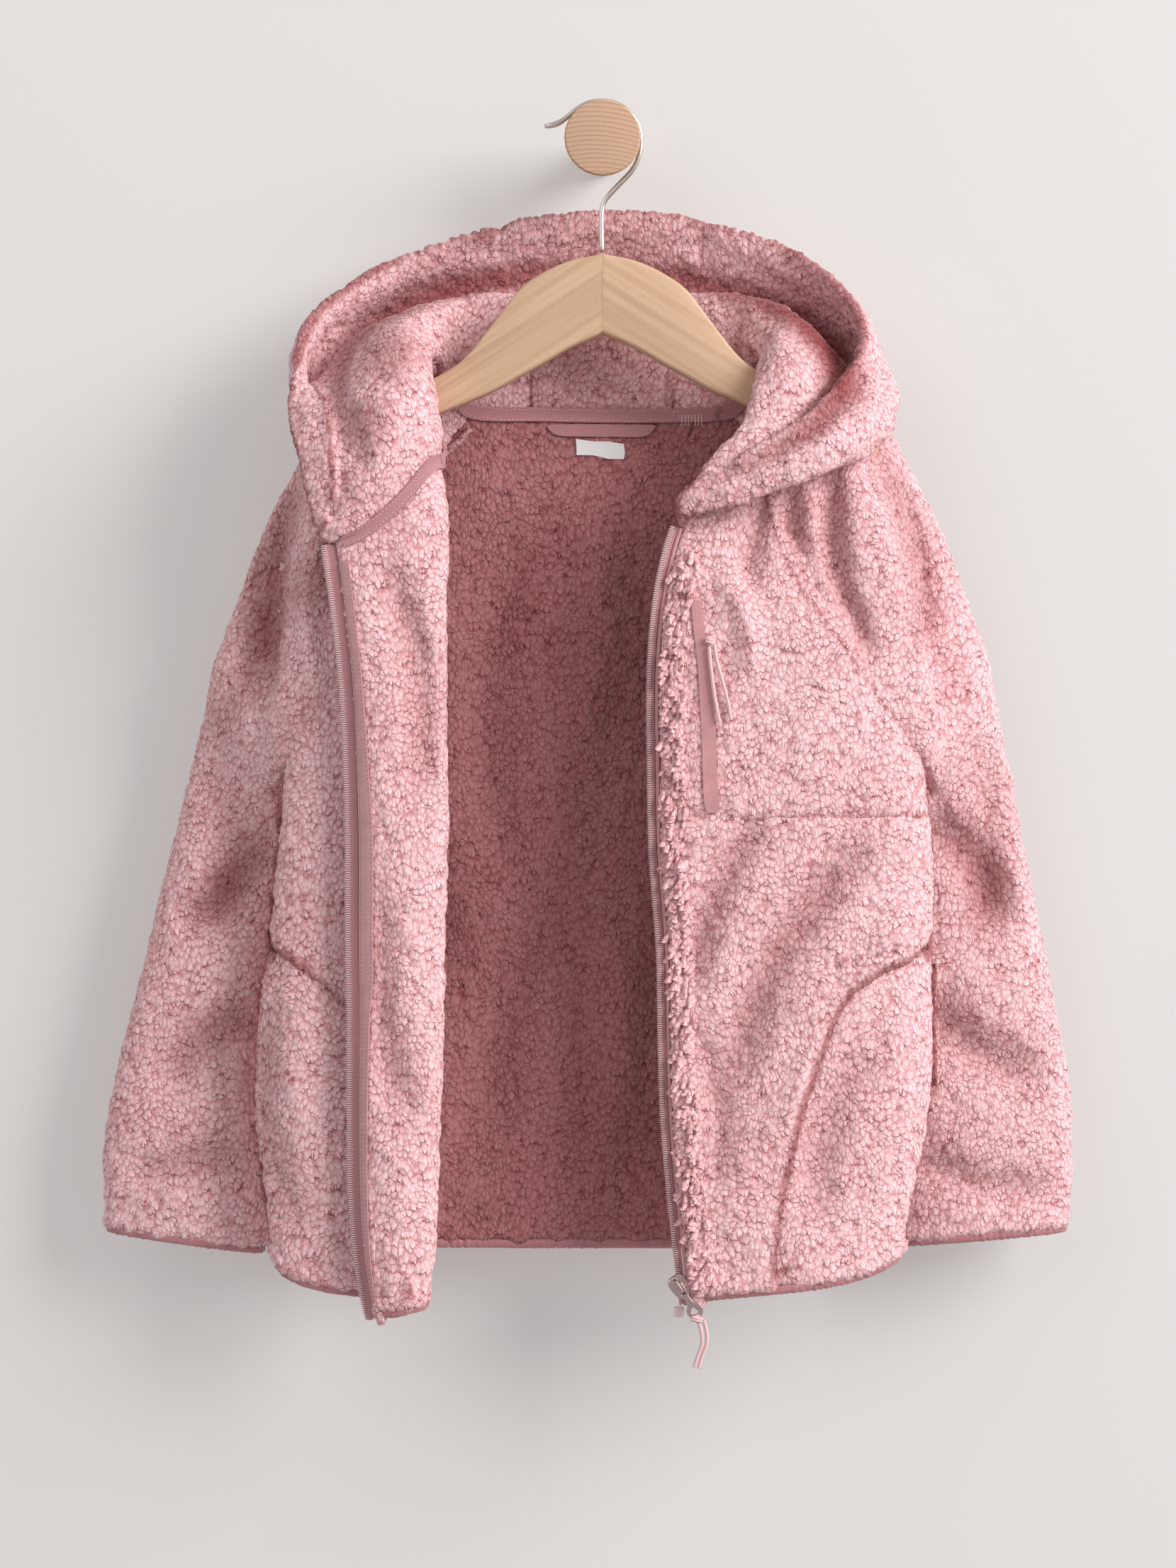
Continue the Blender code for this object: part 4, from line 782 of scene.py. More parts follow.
def hollowAt(places):
    # depth and shade of the hood's hollow at each point
    flat = places[:, [0, 2]]
    best, shade = np.zeros(len(places)), np.zeros(len(places))
    rows = np.array(hollow, float)
    for k in range(len(rows) - 1):
        start, run = rows[k, :2] * mm, (rows[k + 1, :2] - rows[k, :2]) * mm
        share = np.clip(((flat - start) @ run) / (run @ run), 0, 1)
        width, depth, dark = [(rows[k, c] + (rows[k + 1, c] - rows[k, c]) * share) for c in (2, 3, 4)]
        away = flat - start - share[:, None] * run
        weight = np.exp(-(((away**2).sum(1) / (width * mm) ** 2) ** 1.5))
        best = np.maximum(best, depth * mm * weight)
        shade = np.maximum(shade, dark * weight)
    return best, shade


def softWave(places):
    # a gentle unevenness all over, so that no stretch of cloth is flat
    x, y, z = places.T
    wave = np.sin(47 * x + 31 * z + 0.4) + np.sin(71 * x - 53 * z + 2.1) + np.sin(
        29 * z + 83 * y + 1.3 * np.sin(37 * x)
    )
    return wave * gentle


def socketOf(tree, name):
    items = tree.interface.items_tree
    return next(item.identifier for item in items if item.name == name and item.in_out == "INPUT")


gentle = 0.45 * mm
comesIn = {  # distances over which each change comes in beside a trim, a zip strip, a binding or a seam
    "trim": (1 * mm, 6 * mm), "strip": (1 * mm, 5 * mm), "bound": (1 * mm, 6 * mm), "seam": (0, 12 * mm),
    "bare": (0.6 * mm, 3.4 * mm), "fold": (0, 10 * mm), "spare": 3 * mm, "shade": (3 * mm, 8 * mm),
}
seamClose = {"close": 3.3 * mm, "width": 8 * mm, "over": 2.6 * mm, "overWidth": 9 * mm}
hangerReach = (13 * mm, 38 * mm)
pileNodes = pileTree()
fleece = fleeceMaterial()
fleeceObjects = {}


def awayFrom(node, places):
    # each point's distance from a solid's surface
    vertices = [vert.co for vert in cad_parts[node].data.vertices]
    solid = BVHTree.FromPolygons(
        vertices, [tuple(face.vertices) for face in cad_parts[node].data.polygons],
    )
    return np.array([solid.find_nearest(Vector(place))[3] for place in places.tolist()])


def clearOfHanger(places):
    # 0 beside the hanger's arms, so that no fold presses the cloth through them, to 1 well away
    return smoothStep(*hangerReach, awayFrom("hanger", places))


def facingRoom(normals):
    return smoothStep(-0.2, 0.4, -normals[:, 1])


def shadeAt(node, places, normals, fold, seam, trim):
    # how much painted shade darkens each point: on the back's room-side face, in deep folds, in listed
    # patches and in seam grooves
    # painted shade over the back's whole room-side face
    if node == "back":
        return smoothStep(-0.3, 0.3, -normals[:, 1])
    shade = foldShade * np.clip(fold / foldDark, 0, 1)
    for x, z, radius, amount in shadePatches.get(node, ()):
        shade = np.maximum(shade, amount * fadeOut(0.2, 1.0, besideSpot(places, x, z, radius)))
    full, none = ("wideFull", "wideNone") if node in seamShade["wide"] else ("full", "none")
    sewn = seamShade["amount"] * fadeOut(
        seamShade[full], seamShade[none], seam,
    ) * smoothStep(*comesIn["shade"], trim)
    if node.startswith("sleeve"):
        sewn = sewn * smoothStep(*seamShade["armEnds"], places[:, 2])
    if node in seamShade["beside"]:
        away = awayFrom(seamShade["beside"][node], places)
        near = fadeOut(seamShade["wideFull"], seamShade["wideNone"], away)
        sewn = np.maximum(sewn, seamShade["amount"] * near)
    return np.maximum(shade * facingRoom(normals), sewn)


def buildFleece(node):
    obj, rimPlaces, rimNormals = smoothForm(node + "_fleece", node, 5.2 * mm)
    remeshed(obj, pile["voxels"].get(node.split("_")[0], pile["voxel"]))
    places, normals = readMesh(obj.data)
    polygons = [tuple(p.vertices) for p in obj.data.polygons]
    rimTree, outwards = outwardAlong(rimPlaces, rimNormals)
    nearest = [rimTree.find(place) for place in places.tolist()]
    seam = np.array([found[2] for found in nearest])
    outward = outwards[[found[1] for found in nearest]]
    push = puffBesideSeams(places, normals, polygons, seam)
    trim, bound = distanceTo(trimTree, places), distanceTo(boundTree, places)
    free = smoothStep(*comesIn["trim"], trim)
    offStrips = smoothStep(*comesIn["strip"], distanceTo(stripTree, places))
    closing = seamClose["close"] * fadeOut(0, seamClose["width"], seam) * offStrips
    wave = softWave(places) * smoothStep(*comesIn["seam"], seam)
    over = seamClose["over"] * fadeOut(seamClose["overWidth"] / 2, seamClose["overWidth"], bound)
    rise = np.maximum((push + wave) * free, over)
    places = places + normals * rise[:, None] + outward * closing[:, None]
    for x, z, radius, shift in bulges.get(node, ()):
        places[:, 0] += shift * mm * fadeOut(0.3, 1.0, besideSpot(places, x, z, radius))
    clear = clearOfHanger(places)
    fold = foldMove(node, places)
    shade = shadeAt(node, places, normals, fold, seam, trim)
    if node.startswith("hood"):
        depth, dark = hollowAt(places)
        fold += depth
        shade = np.maximum(shade, dark * facingRoom(normals))
    fold = np.where(fold > 0, fold * clear, fold)
    places[:, 1] += fold * smoothStep(*comesIn["fold"], np.minimum(seam, trim + comesIn["spare"]))
    writeMesh(obj.data, places)
    bare = fadeOut(*comesIn["bare"], trim) * smoothStep(*comesIn["bound"], bound)
    setAttribute(obj.data, "bare", bare)
    # stores the painted shade for the finish
    setAttribute(obj.data, "inside", shade)
    tufts = obj.modifiers.new("pile", "NODES")
    tufts.node_group = pileNodes
    tufts[socketOf(pileNodes, "Material")] = fleece
    evaluated(obj)
    finishPiece(obj, [node], fleece)
    fleeceObjects[node] = obj
    print("fleece:", node, len(obj.data.polygons))


for node in folds:
    buildFleece(node)


frontOfAll = -400 * mm


def asFleece(obj, shade):
    # gives a mesh the attributes that the fleece's finish reads: its rest place and an even painted shade
    places, _ = readMesh(obj.data)
    setAttribute(obj.data, "rest", places, "FLOAT_VECTOR")
    setAttribute(obj.data, "inside", np.full(len(places), shade))


# Rows that repeat along a line: coil teeth, stitches, the fleece's loose locks
def chance(tree, low, high, seed):
    return made(
        tree, "FunctionNodeRandomValue", {"Min": low, "Max": high, "Seed": seed}, data_type="FLOAT_VECTOR",
    )


def rowTree(name, shape, seed=0):
    # places a copy of a shape at even steps along each line, x along the line and z off the cloth
    values = (
        ("Pitch", 1.5 * mm), ("Length", mm), ("Width", mm), ("Height", mm), ("Spread", 0.0), ("Tilt", 0.0),
    )
    tree, pin = groupTree(name, values)
    curve = made(tree, "GeometryNodeMeshToCurve", {0: pin["Geometry"]})
    even = made(tree, "GeometryNodeResampleCurve", {"Curve": curve, "Length": pin["Pitch"]}, mode="LENGTH")
    points = kept(tree, even, "heading", tree.nodes.new("GeometryNodeInputTangent").outputs[0])
    align = "FunctionNodeAlignRotationToVector"
    turn = made(tree, align, {"Vector": fieldOf(tree, "off", "FLOAT_VECTOR")}, axis="Z")
    heading = fieldOf(tree, "heading", "FLOAT_VECTOR")
    rotation = made(tree, align, {"Rotation": turn, "Vector": heading}, axis="X", pivot_axis="Z")
    size = made(tree, "ShaderNodeCombineXYZ", {0: pin["Length"], 1: pin["Width"], 2: pin["Height"]})
    if seed:
        low, high = (-1, -1, -1), (1, 1, 1)
        jump = scaled(tree, chance(tree, low, high, seed), pin["Spread"])
        points = made(tree, "GeometryNodeSetPosition", {"Geometry": points, "Offset": jump})
        angles = scaled(tree, chance(tree, low, high, seed + 1), pin["Tilt"])
        twist = made(tree, "FunctionNodeEulerToRotation", {0: angles})
        turned = {"Rotation": rotation, "Rotate By": twist}
        rotation = made(tree, "FunctionNodeRotateRotation", turned, rotation_space="LOCAL")
        size = vector2(tree, "MULTIPLY", size, chance(tree, (0.7, 0.7, 0.6), (1.25, 1.25, 1.3), seed + 2))
    smooth = made(tree, "GeometryNodeSetShadeSmooth", {0: shape(tree)})
    inputs = {"Points": points, "Instance": smooth, "Rotation": rotation, "Scale": size}
    return endTree(tree, made(tree, "GeometryNodeInstanceOnPoints", inputs), pin["Material"])


def stitchShape(tree):
    return made(tree, "GeometryNodeMeshUVSphere", {"Segments": 6, "Rings": 4, "Radius": 0.5})


def circle(tree, sides, radius):
    inputs = {"Resolution": sides, "Radius": radius}
    return made(tree, "GeometryNodeCurvePrimitiveCircle", inputs, mode="RADIUS")


def loopShape(tree):
    # one turn of the coil: a flat ring of wire across the tape
    turned = {"Geometry": circle(tree, 8, 0.5), "Rotation": (0.0, math.pi / 2 - 0.25, 0.0)}
    ring = made(tree, "GeometryNodeTransform", turned)
    return made(tree, "GeometryNodeCurveToMesh", {"Curve": ring, "Profile Curve": circle(tree, 5, 0.17)})


def lockShape(tree):
    # a blunt tapering tuft of pile that bends over
    bend = {"Resolution": 5, "Start": (0, 0, 0), "Middle": (0.05, 0.05, 0.6), "End": (0.3, -0.12, 1.0)}
    spine = made(tree, "GeometryNodeCurveQuadraticBezier", bend)
    share = addNode(tree, "GeometryNodeSplineParameter").outputs["Factor"]
    thin = minus(tree, 1.0, math2(tree, "POWER", share, 2.6))
    tapered = {"Curve": spine, "Radius": math2(tree, "MAXIMUM", thin, 0.12)}
    radius = made(tree, "GeometryNodeSetCurveRadius", tapered)
    inputs = {"Curve": radius, "Profile Curve": circle(tree, 6, 0.5), "Fill Caps": True}
    return made(tree, "GeometryNodeCurveToMesh", inputs)


trees = {
    "stitch": rowTree("stitchRow", stitchShape),
    "coil": rowTree("coilRow", loopShape),
    "lock": rowTree("lockRow", lockShape, seed=11),
}


def rowPiece(name, kind, lines, sizes, material, body="jacket"):
    # lines: lists of (place, direction off the cloth)
    mesh = bpy.data.meshes.new(name)
    places, offs, edges = [], [], []
    for line in lines:
        start = len(places)
        places += [tuple(place) for place, _ in line]
        offs += [tuple(off) for _, off in line]
        edges += [(start + k, start + k + 1) for k in range(len(line) - 1)]
    mesh.from_pydata(places, edges, [])
    setAttribute(mesh, "off", np.array(offs), "FLOAT_VECTOR")
    obj = linkObject(name, mesh)
    row = obj.modifiers.new("row", "NODES")
    row.node_group = trees[kind]
    for label, value in sizes.items():
        row[socketOf(trees[kind], label)] = value
    row[socketOf(trees[kind], "Material")] = material
    evaluated(obj)
    return finishPiece(obj, [], None, body)


def bvhOf(*objects):
    places, polygons = [], []
    for obj in objects:
        start = len(places)
        points, _ = readMesh(obj.data)
        places += [Vector(p) for p in points]
        polygons += [tuple(start + v for v in p.vertices) for p in obj.data.polygons]
    return BVHTree.FromPolygons(places, polygons)


def fromFront(surface, x, z):
    return surface.ray_cast(Vector((x, frontOfAll, z)), Vector((0, 1, 0)))


def dropped(surface, corners, lift, step=2.5):
    # a line drawn from the front in x and z millimetres, laid on the first surface behind it
    line = []
    corners = np.array(corners, float)
    travelled = runOf(corners)
    for at in np.linspace(0, travelled[-1], max(2, int(travelled[-1] / step))):
        x, z = (np.interp(at, travelled, corners[:, k]) * mm for k in (0, 1))
        hit = fromFront(surface, x, z)
        if hit[0] is not None:
            normal = hit[1] if hit[1].y < 0 else -hit[1]
            line.append((hit[0] + normal * lift, normal))
    return line


def cornersOf(line, right=0.0, up=0.0):
    # x and z of a line in millimetres
    return [(place[0] / mm + right, place[2] / mm + up) for place in line]


def rowSizes(pitch, length, width, height, **more):
    return {"Pitch": pitch, "Length": length, "Width": width, "Height": height, **more}


def edgeLine(obj, side, count, keep=0.12):
    # the outermost line of an upright strip, on its side towards -x or +x
    places, _ = readMesh(obj.data)
    low, high = places[:, 2].min(), places[:, 2].max()
    line = []
    for z in np.linspace(high - 1.5 * mm, low + 1.5 * mm, count):
        near = places[np.abs(places[:, 2] - z) < 4 * mm]
        order = np.argsort(side * near[:, 0])[::-1][: max(3, int(keep * len(near)))]
        line.append(near[order].mean(0) * (1, 1, 0) + (0, 0, z))
    line = np.array(line)
    for _ in range(3):
        line[1:-1] = (line[:-2] + 2 * line[1:-1] + line[2:]) / 4
    return line


# Zip: coil teeth, stitching
zipRow = {
    "pitch": 1.5 * mm, "along": 1.9 * mm, "across": 3.1 * mm, "deep": 1.9 * mm, "inset": 1.3 * mm,
    "sunk": 0.35, "stitchInset": 2.6, "facingInset": 1.1 * mm, "neckRows": (3.4, -3.4), "lift": 0.1 * mm,
}
seamStitch = rowSizes(2.9 * mm, 2.0 * mm, 0.55 * mm, 0.45 * mm)
toothPlastic = plainMaterial("coilPlastic", finish["teeth"], 0.34, grain=0.05 * mm, scale=3000)
threadMaterial = plainMaterial("sewingThread", finish["thread"], 0.6, 0.2)
seamThread = plainMaterial("facingThread", finish["seamThread"], 0.6, 0.2)
blackThread = plainMaterial("blackThread", (0.03, 0.028, 0.03), 0.6)


def frontOff(line):
    return [(place, (0, -1, 0)) for place in line]


def buildZip():
    for node in ("zip_tape_left", "zip_tape_right"):
        obj = trimObjects[node]
        rim = edgeLine(obj, -1, 90)
        surface = bvhOf(obj)
        line = rim + (zipRow["inset"], 0, 0)
        front = [fromFront(surface, p[0], p[2])[0] for p in line]
        line = [
            p * (1, 0, 1) + (0, (hit.y if hit else p[1]) - zipRow["sunk"] * zipRow["deep"], 0)
            for p, hit in zip(line, front)
        ]
        sizes = rowSizes(zipRow["pitch"], zipRow["along"], zipRow["across"], zipRow["deep"])
        rowPiece(node + "_coil", "coil", [frontOff(line)], sizes, toothPlastic)
        row = dropped(
            surface, cornersOf(rim + (zipRow["stitchInset"] * zipRow["inset"], 0, 0)), zipRow["lift"],
        )
        rowPiece(node + "_stitches", "stitch", [row], seamStitch, threadMaterial)
    obj = trimObjects["zip_facing"]
    surface = bvhOf(obj)
    rows = []
    for side in (-1, 1):
        row = edgeLine(obj, side, 60) - (side * zipRow["facingInset"], 0, 0)
        rows.append(dropped(surface, cornersOf(row), zipRow["lift"]))
    rowPiece("facing_stitches", "stitch", rows, seamStitch, seamThread)
    surface = bvhOf(trimObjects["neck_tape"])
    middle = trimLines["neck_tape"][2:-2]
    rows = [dropped(surface, cornersOf(middle, up=rise), zipRow["lift"]) for rise in zipRow["neckRows"]]
    rowPiece(
        "neck_stitches", "stitch", [row for row in rows if len(row) > 2], seamStitch, threadMaterial,
    )
    print("zip teeth and stitching built")


buildZip()


# Locks of pile that stand beside the left zip
locks = {  # rows: shifts from the piping in millimetres
    "along": 2.7 * mm, "length": 7.4 * mm, "thick": 4.2 * mm, "spread": 1.9 * mm, "tilt": 0.45,
    "root": 1.6 * mm, "lean": (-0.40, -0.30, -0.86), "rows": (4.4, 6.8, 9.4, 12.2, 15.2),
}


def buildLocks():
    line = edgeLine(trimObjects["zip_piping"], 1, 120)
    surface = bvhOf(fleeceObjects["front_left_upper"], fleeceObjects["front_left_lower"])
    rows, thick = [], locks["thick"]
    lean = Vector(locks["lean"]).normalized()
    for shift in locks["rows"]:
        row = dropped(surface, cornersOf(line[2:-4], right=shift), -locks["root"])
        rows.append([(place, lean) for place, _ in row])
    sizes = rowSizes(
        locks["along"], thick, thick, locks["length"], Spread=locks["spread"], Tilt=locks["tilt"],
    )
    asFleece(rowPiece("zip_locks", "lock", rows, sizes, fleece), 0.0)


buildLocks()
print("locks built")


# Hanger, hook and peg
hangerShape = {  # from the centre line outwards: distance, upper edge, lower edge
    "rows": (
        (0, -80, -133.5), (24, -85.5, -144.5), (43, -94.5, -155.5), (55, -103, -162), (72, -124.5, -171.5),
        (91, -148.5, -180),
        (118, -166.5, -191), (144, -182, -203), (166, -194, -212), (181, -203, -218),
    ),
    "middle": -94.0, "thick": 14.0, "round": 3.0, "step": 3.0, "straight": 181.0,
    "tip": (183, 184.3, 184.9), "nose": 4.0, "pinch": 4.2,
}
wood = {
    "light": (0.64, 0.42, 0.275), "dark": (0.50, 0.30, 0.18), "fleck": (0.36, 0.19, 0.10), "slope": 0.64,
}


def smoothThrough(table, at):
    table = np.array(table, float)
    slopes = np.gradient(table[:, 1:], table[:, 0], axis=0)
    k = np.clip(np.searchsorted(table[:, 0], at) - 1, 0, len(table) - 2)
    span = table[k + 1, 0] - table[k, 0]
    t = (at - table[k, 0]) / span
    a, b = table[k, 1:], table[k + 1, 1:]
    level = a * (2 * t**3 - 3 * t**2 + 1) + b * (3 * t**2 - 2 * t**3)
    return level + span * (slopes[k] * (t**3 - 2 * t**2 + t) + slopes[k + 1] * (t**3 - t**2))


def roundedLoop(high, low, half, corner, each=4):
    # y and z round an upright rounded rectangle
    right, top, bottom = half - corner, high - corner, low + corner
    loop = []
    for start, (cy, cz) in enumerate(((right, top), (-right, top), (-right, bottom), (right, bottom))):
        for k in range(each):
            angle = math.pi / 2 * (start + k / (each - 1))
            loop.append((cy + corner * math.cos(angle), cz + corner * math.sin(angle)))
    return loop


def loftMesh(name, loops, ends=True):
    count = len(loops[0])
    faces = []
    for k in range(len(loops) - 1):
        for j in range(count):
            a, b = k * count + j, k * count + (j + 1) % count
            faces.append((a, b, b + count, a + count))
    if ends:
        faces.append(tuple(range(count))[::-1])
        faces.append(tuple(range((len(loops) - 1) * count, len(loops) * count)))
    mesh = bpy.data.meshes.new(name)
    mesh.from_pydata([tuple(p) for loop in loops for p in loop], [], faces)
    bm = bmesh.new()
    bm.from_mesh(mesh)
    bmesh.ops.recalc_face_normals(bm, faces=bm.faces)
    bm.to_mesh(mesh)
    bm.free()
    mesh.shade_smooth()
    return mesh


def buildHanger():
    shape = hangerShape
    straight = shape["straight"]
    xs = [*np.arange(0, straight, shape["step"]), straight, *shape["tip"]]
    loops = []
    for x in [-x for x in xs[:0:-1]] + xs:
        high, low = smoothThrough(shape["rows"], min(abs(x), straight))
        past = max(0.0, abs(x) - straight) / shape["nose"]
        pinch = shape["pinch"] * (1 - math.sqrt(max(0.0, 1 - past * past)))
        loop = roundedLoop(high - pinch, low + pinch, shape["thick"] / 2 - pinch * 0.6, shape["round"])
        loops.append([(x * mm, (shape["middle"] + y) * mm, z * mm) for y, z in loop])
    obj = linkObject("hanger_wood", loftMesh("hanger_wood", loops))
    finishPiece(obj, ["hanger"], beechMaterial())


def beechMaterial():
    material, tree, shader = newMaterial("beech", 0.46)
    parts = axesOf(tree, objectPlace(tree))
    away = math2(tree, "ABSOLUTE", parts["X"])
    slope = wood["slope"]
    run = math.hypot(1, slope)
    along = times(tree, minus(tree, away, times(tree, parts["Z"], slope)), 1 / run)
    across = times(tree, plus(tree, parts["Z"], times(tree, away, slope)), 1 / run)
    side = times(tree, math2(tree, "SIGN", parts["X"]), 0.37)
    grain = made(tree, "ShaderNodeCombineXYZ", {0: along, 1: plus(tree, parts["Y"], side), 2: across})
    streak = noiseOf(tree, stretched(tree, grain, 5, 90, 240), 1.0, 4.0, Roughness=0.6)["Fac"]
    fleck = noiseOf(tree, stretched(tree, grain, 260, 700, 1900), 1.0, 1.0)["Fac"]
    colour = ramp(tree, streak, ((0.25, wood["dark"]), (0.62, wood["light"])))
    spot = times(tree, minus(tree, fleck, 0.62, clamp=True), 3.4, clamp=True)
    joint = math2(tree, "LESS_THAN", away, 0.22 * mm)
    mark = math2(tree, "MAXIMUM", times(tree, spot, 0.55), times(tree, joint, 0.8))
    loss = [1 - dark / light for dark, light in zip(wood["fleck"], wood["light"])]
    darkened(tree, shader, colour, loss, mark)
    bumped(tree, shader, streak, 0.15 * mm, 0.4)
    return material


def pegMaterial():
    # end grain: near level rings that arch a little across the disc
    material, tree, shader = newMaterial("beechEndGrain", 0.55)
    place = objectPlace(tree)
    parts = axesOf(tree, place)
    wander = noiseOf(tree, stretched(tree, place, 16, 4, 40), 1.0, 2.0)["Fac"]
    arch = times(tree, math2(tree, "POWER", plus(tree, parts["X"], 0.006), 2.0), 5.5)
    level = plus(tree, parts["Z"], arch)
    level = plus(tree, level, times(tree, wander, 2.6 * mm))
    ring = math2(tree, "FRACT", times(tree, level, 1 / (3.1 * mm)))
    line = math2(tree, "POWER", ring, 5.0)
    fine = noiseOf(tree, stretched(tree, place, 700, 40, 1500), 1.0, 2.0)["Fac"]
    tone = plus(tree, times(tree, line, 0.75), times(tree, fine, 0.4))
    light, dark = (0.60, 0.385, 0.26), (0.36, 0.18, 0.10)
    coloured(tree, shader, ramp(tree, tone, ((0.12, light), (0.95, dark))))
    return material


hard = {"weld": 1e-5, "join": 0.3, "eased": 0.7, "sharp": 0.9}  # a gap in metres, then angles


def hardPiece(node, name, material, bevel=0.0, body="jacket", levels=0):
    obj = meshObject(name, cleanNode(node, hard["weld"], hard["join"]))
    if levels:
        softened(obj, levels)
    if bevel:
        ease = obj.modifiers.new("ease", "BEVEL")
        ease.width, ease.segments, ease.limit_method, ease.angle_limit = bevel, 3, "ANGLE", hard["eased"]
    evaluated(obj)
    obj.data.shade_smooth()
    if bevel:
        obj.data.set_sharp_from_angle(angle=hard["sharp"])
    return finishPiece(obj, [node], material, body)


nickel = plainMaterial("satinNickel", (0.74, 0.69, 0.64), 0.27, metallic=1.0, scale=300)
roseNickel = plainMaterial("roseNickel", (0.62, 0.46, 0.46), 0.3, metallic=1.0, scale=300)
buildHanger()
hardPiece("wall_peg", "peg_wood", pegMaterial(), 0.5 * mm)
hardPiece("hook", "hook_wire", nickel, levels=1)
hardPiece("zip_slider", "slider_body", roseNickel, 0.5 * mm)
hardPiece("zip_pull", "slider_pull", roseNickel, 0.35 * mm, "pull_tab")
hardPiece("zip_box", "pin_box", toothPlastic, 0.5 * mm)
print("hanger, hook, peg and slider built")


# Cords: round braid
braid = {"radius": 1.25 * mm, "sides": 12, "step": 0.5 * mm, "lay": 1.9 * mm, "relief": 0.09 * mm}


def braidMaterial():
    material, tree, shader = newMaterial("pinkBraid", 0.62, 0.3)
    parts = axesOf(tree, attributeOf(tree, "weave"))
    beat = times(tree, parts["X"], 2 * math.pi / braid["lay"])
    left = math2(tree, "SINE", plus(tree, beat, times(tree, parts["Y"], 3)))
    right = math2(tree, "SINE", minus(tree, beat, times(tree, parts["Y"], 3)))
    height = times(tree, plus(tree, times(tree, left, right), 1.0), 0.5)
    # painted shade between the braid's strands and painted highlight on their crowns
    twoTone(tree, shader, height, finish["cord"], (0.72, 1.2), (0.05, 0.75))
    bumped(tree, shader, height, 0.25 * mm, 0.8)
    return material


def smoothPath(points, step):
    points = np.array(points, float)
    travelled = runOf(points)
    table = np.column_stack([travelled, points])
    return np.array(
        [
            smoothThrough(table, at)
            for at in np.linspace(0, travelled[-1], max(3, int(travelled[-1] / step)))
        ]
    )


def tubeMesh(name, path, radius, sides, ends=(0.55, 0.8)):
    # a braided tube along a path, with eased ends. ends are the radius shares of its two tips
    heading = headingOf(path)
    side = np.cross(heading[0], (0.3, 1.0, 0.2))
    travelled = runOf(path)
    loops, weave = [], []
    for k, place in enumerate(path):
        side = side - heading[k] * (side @ heading[k])
        side /= np.linalg.norm(side)
        other = np.cross(heading[k], side)
        share = 1.0
        for gap, tip in ((travelled[k], ends[0]), (travelled[-1] - travelled[k], ends[1])):
            if gap < radius:
                share = min(share, tip + (1 - tip) * math.sin(gap / radius * math.pi / 2))
        loop = []
        beat = 2 * math.pi * travelled[k] / braid["lay"]
        for j in range(sides):
            angle = 2 * math.pi * j / sides
            relief = braid["relief"] * math.sin(beat + 3 * angle) * math.sin(beat - 3 * angle)
            loop.append(
                place + (radius * share + relief) * (math.cos(angle) * side + math.sin(angle) * other)
            )
            weave.append((travelled[k], angle, 0))
        loops.append(loop)
    mesh = loftMesh(name, loops)
    setAttribute(mesh, "weave", np.array(weave), "FLOAT_VECTOR")
    return mesh, travelled[-1]


cordFinish = braidMaterial()


def nodePath(node, count, extend=0.0):
    places, _ = readMesh(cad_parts[node].data)
    line = centreLine(places, 2, count)[::-1]
    ends = places[:, 2].max(), places[:, 2].min()
    line[0][2], line[-1][2] = ends[0] + extend, ends[1]
    return line


def buildCord(node, body):
    path = smoothPath(nodePath(node, 7, 1.5 * mm), braid["step"])
    mesh, length = tubeMesh(node + "_braid", path, braid["radius"], braid["sides"])
    obj = linkObject(node + "_braid", mesh)
    finishPiece(obj, [node], cordFinish, body)
    print(node, "length", round(length * 1000, 1), "mm")


knot = {  # shares of the solid's half sizes
    "steps": 55, "turns": 2.2, "start": 0.6, "swell": (0.62, 0.2), "wide": 0.72, "deep": 0.48,
    "tall": 0.62, "sway": 0.1, "thin": 0.92,
}


def buildKnot(node, name, body):
    # the strands wrapped round themselves
    places, _ = readMesh(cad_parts[node].data)
    low, high = places.min(0), places.max(0)
    centre, half = (low + high) / 2, (high - low) / 2
    path = []
    for k in range(knot["steps"] + 1):
        share = k / knot["steps"]
        angle = 2 * math.pi * knot["turns"] * share + knot["start"]
        swell = knot["swell"][0] + knot["swell"][1] * math.sin(math.pi * share)
        across, back = knot["wide"] * swell * math.cos(angle), knot["deep"] * swell * math.sin(angle)
        rise = knot["tall"] * (1 - 2 * share) + knot["sway"] * math.sin(2 * angle)
        path.append(centre + half * (across, back, rise))
    mesh, _ = tubeMesh(name, np.array(path), braid["radius"] * knot["thin"], braid["sides"])
    finishPiece(linkObject(name, mesh), [node], cordFinish, body)


for cord, body in (("chest_cord", "jacket"), ("pull_cord", "pull_tab")):
    for strand in ("inner", "outer"):
        buildCord(f"{cord}_{strand}", body)
buildKnot("chest_cord_knot", "chest_knot", "jacket")
buildKnot("pull_knot", "pull_knot_braid", "pull_tab")
print("cords built")


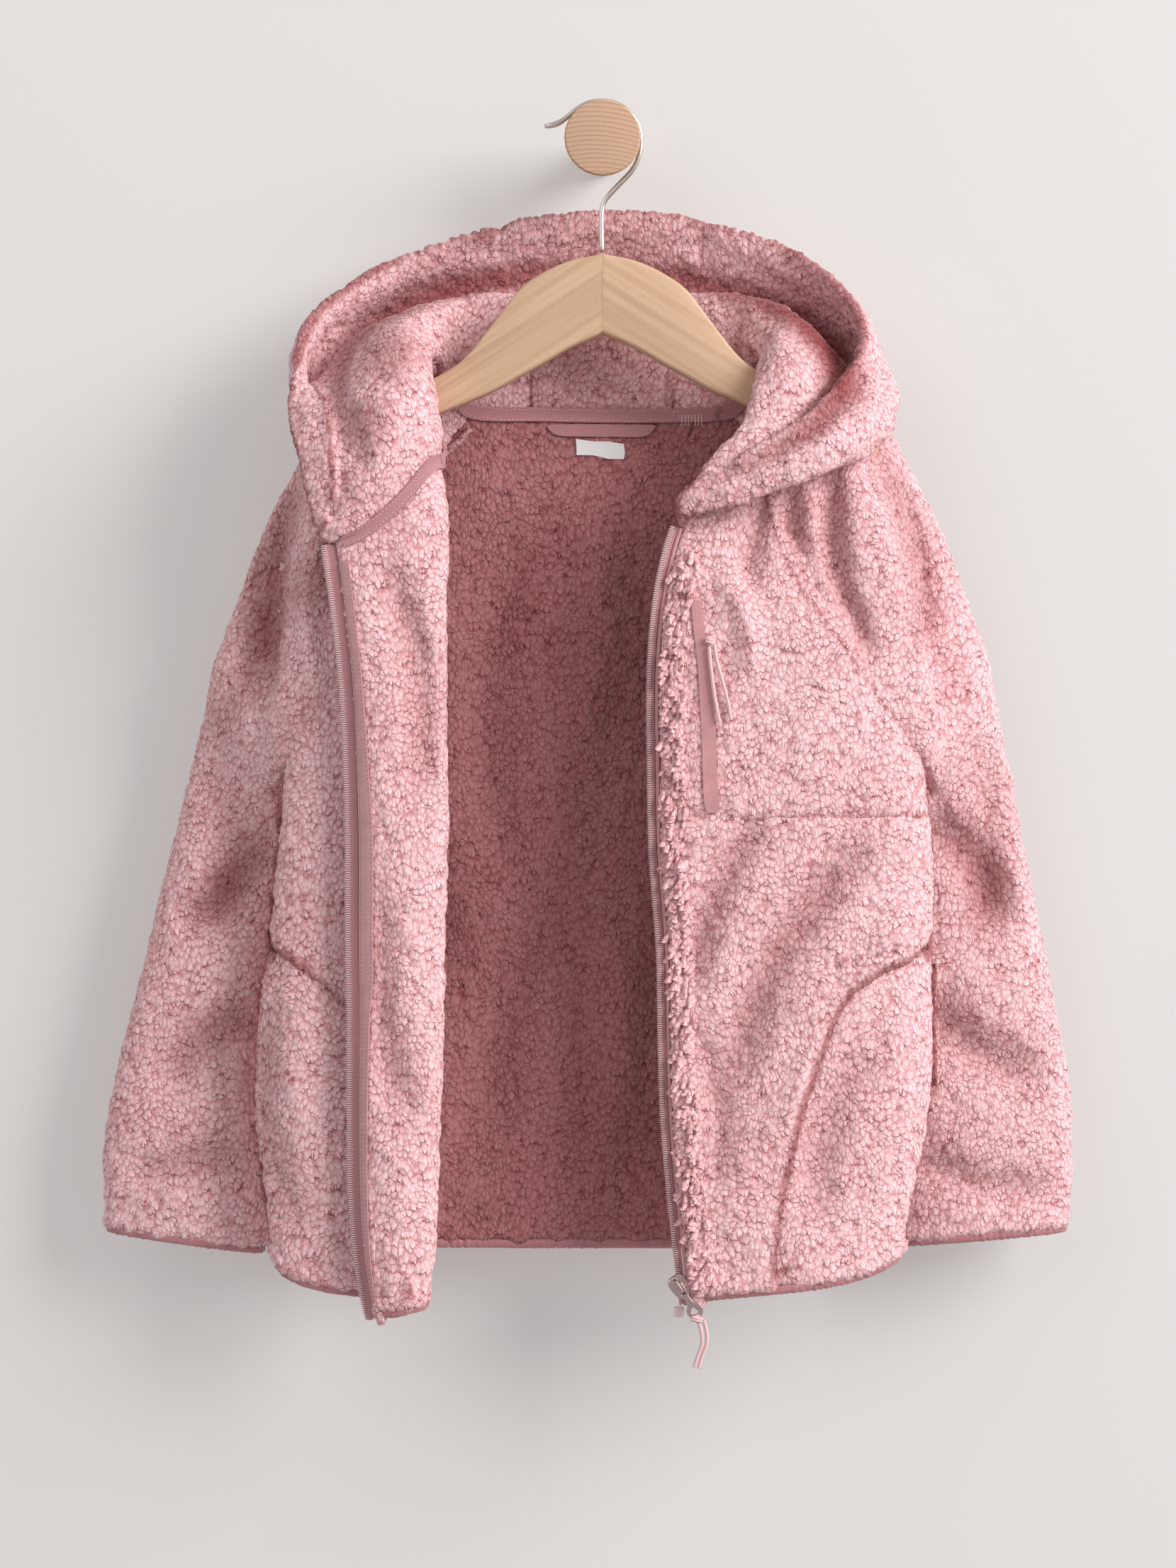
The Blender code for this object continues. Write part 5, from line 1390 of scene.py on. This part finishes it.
# Raised seams inside, the bar tack on the neck tape with its loose thread, and the hood's hem stitching
ridges = {  # the pieces it lies on, its places in x and z millimetres
    "hood_ridge_right": (("hood_right", "hood_centre"), ((-47.5, -148), (-47, -164), (-46.2, -181))),
    "hood_ridge_left": (("hood_left", "hood_centre"), ((47, -152), (46, -165), (45.4, -180))),
    "raglan_ridge": (
        ("back", "sleeve_right"), ((-90, -193), (-97, -201), (-111, -213), (-124, -234), (-138, -256)),
    ),
}
ridge = {"radius": 2.3 * mm, "sides": 10, "lift": 0.2 * mm, "shade": 0.45}
hemStitches = ((-172, -205), (-163, -228), (-156, -244), (-151, -262))
barTack = {
    "x": (54.5, 68.0), "z": (-184.5, -190.5), "rows": 7, "pitch": 1.1 * mm,
    "stitch": (1.5 * mm, 1.5 * mm, 0.7 * mm),
}
looseThread = ((61.5, -188.5), (60.5, -192.5), (58.5, -198.5))


def buildRidges():
    for name, (nodes, corners) in ridges.items():
        surface = bvhOf(*[fleeceObjects[node] for node in nodes])
        path = np.array([place for place, _ in dropped(surface, corners, ridge["lift"])])
        mesh, _ = tubeMesh(name, smoothPath(path, 1.5 * mm), ridge["radius"], ridge["sides"])
        obj = linkObject(name, mesh)
        # the raised seams carry an even painted shade
        asFleece(obj, ridge["shade"])
        finishPiece(obj, [], fleece)
    row = dropped(bvhOf(fleeceObjects["hood_right"]), hemStitches, 0.2 * mm)
    rowPiece("hood_stitches", "stitch", [row], seamStitch, threadMaterial)
    surface = bvhOf(
        trimObjects["neck_tape"], *[fleeceObjects[node] for node in ("back", "hood_left", "hood_centre")],
    )
    high, low = barTack["z"]
    spots = np.linspace(*barTack["x"], barTack["rows"])
    rows = [dropped(surface, ((x, high), (x, low)), 0.25 * mm, 1.0) for x in spots]
    sizes = rowSizes(barTack["pitch"], *barTack["stitch"])
    rowPiece("bar_tack", "stitch", [row for row in rows if len(row) > 1], sizes, threadMaterial)
    path = np.array([place for place, _ in dropped(surface, looseThread, 0.5 * mm, 1.5)])
    mesh, _ = tubeMesh("loose_thread", smoothPath(path, 1.0 * mm), 0.22 * mm, 6)
    finishPiece(linkObject("loose_thread", mesh), [], blackThread)
    print("ridges and bar tack built")


buildRidges()
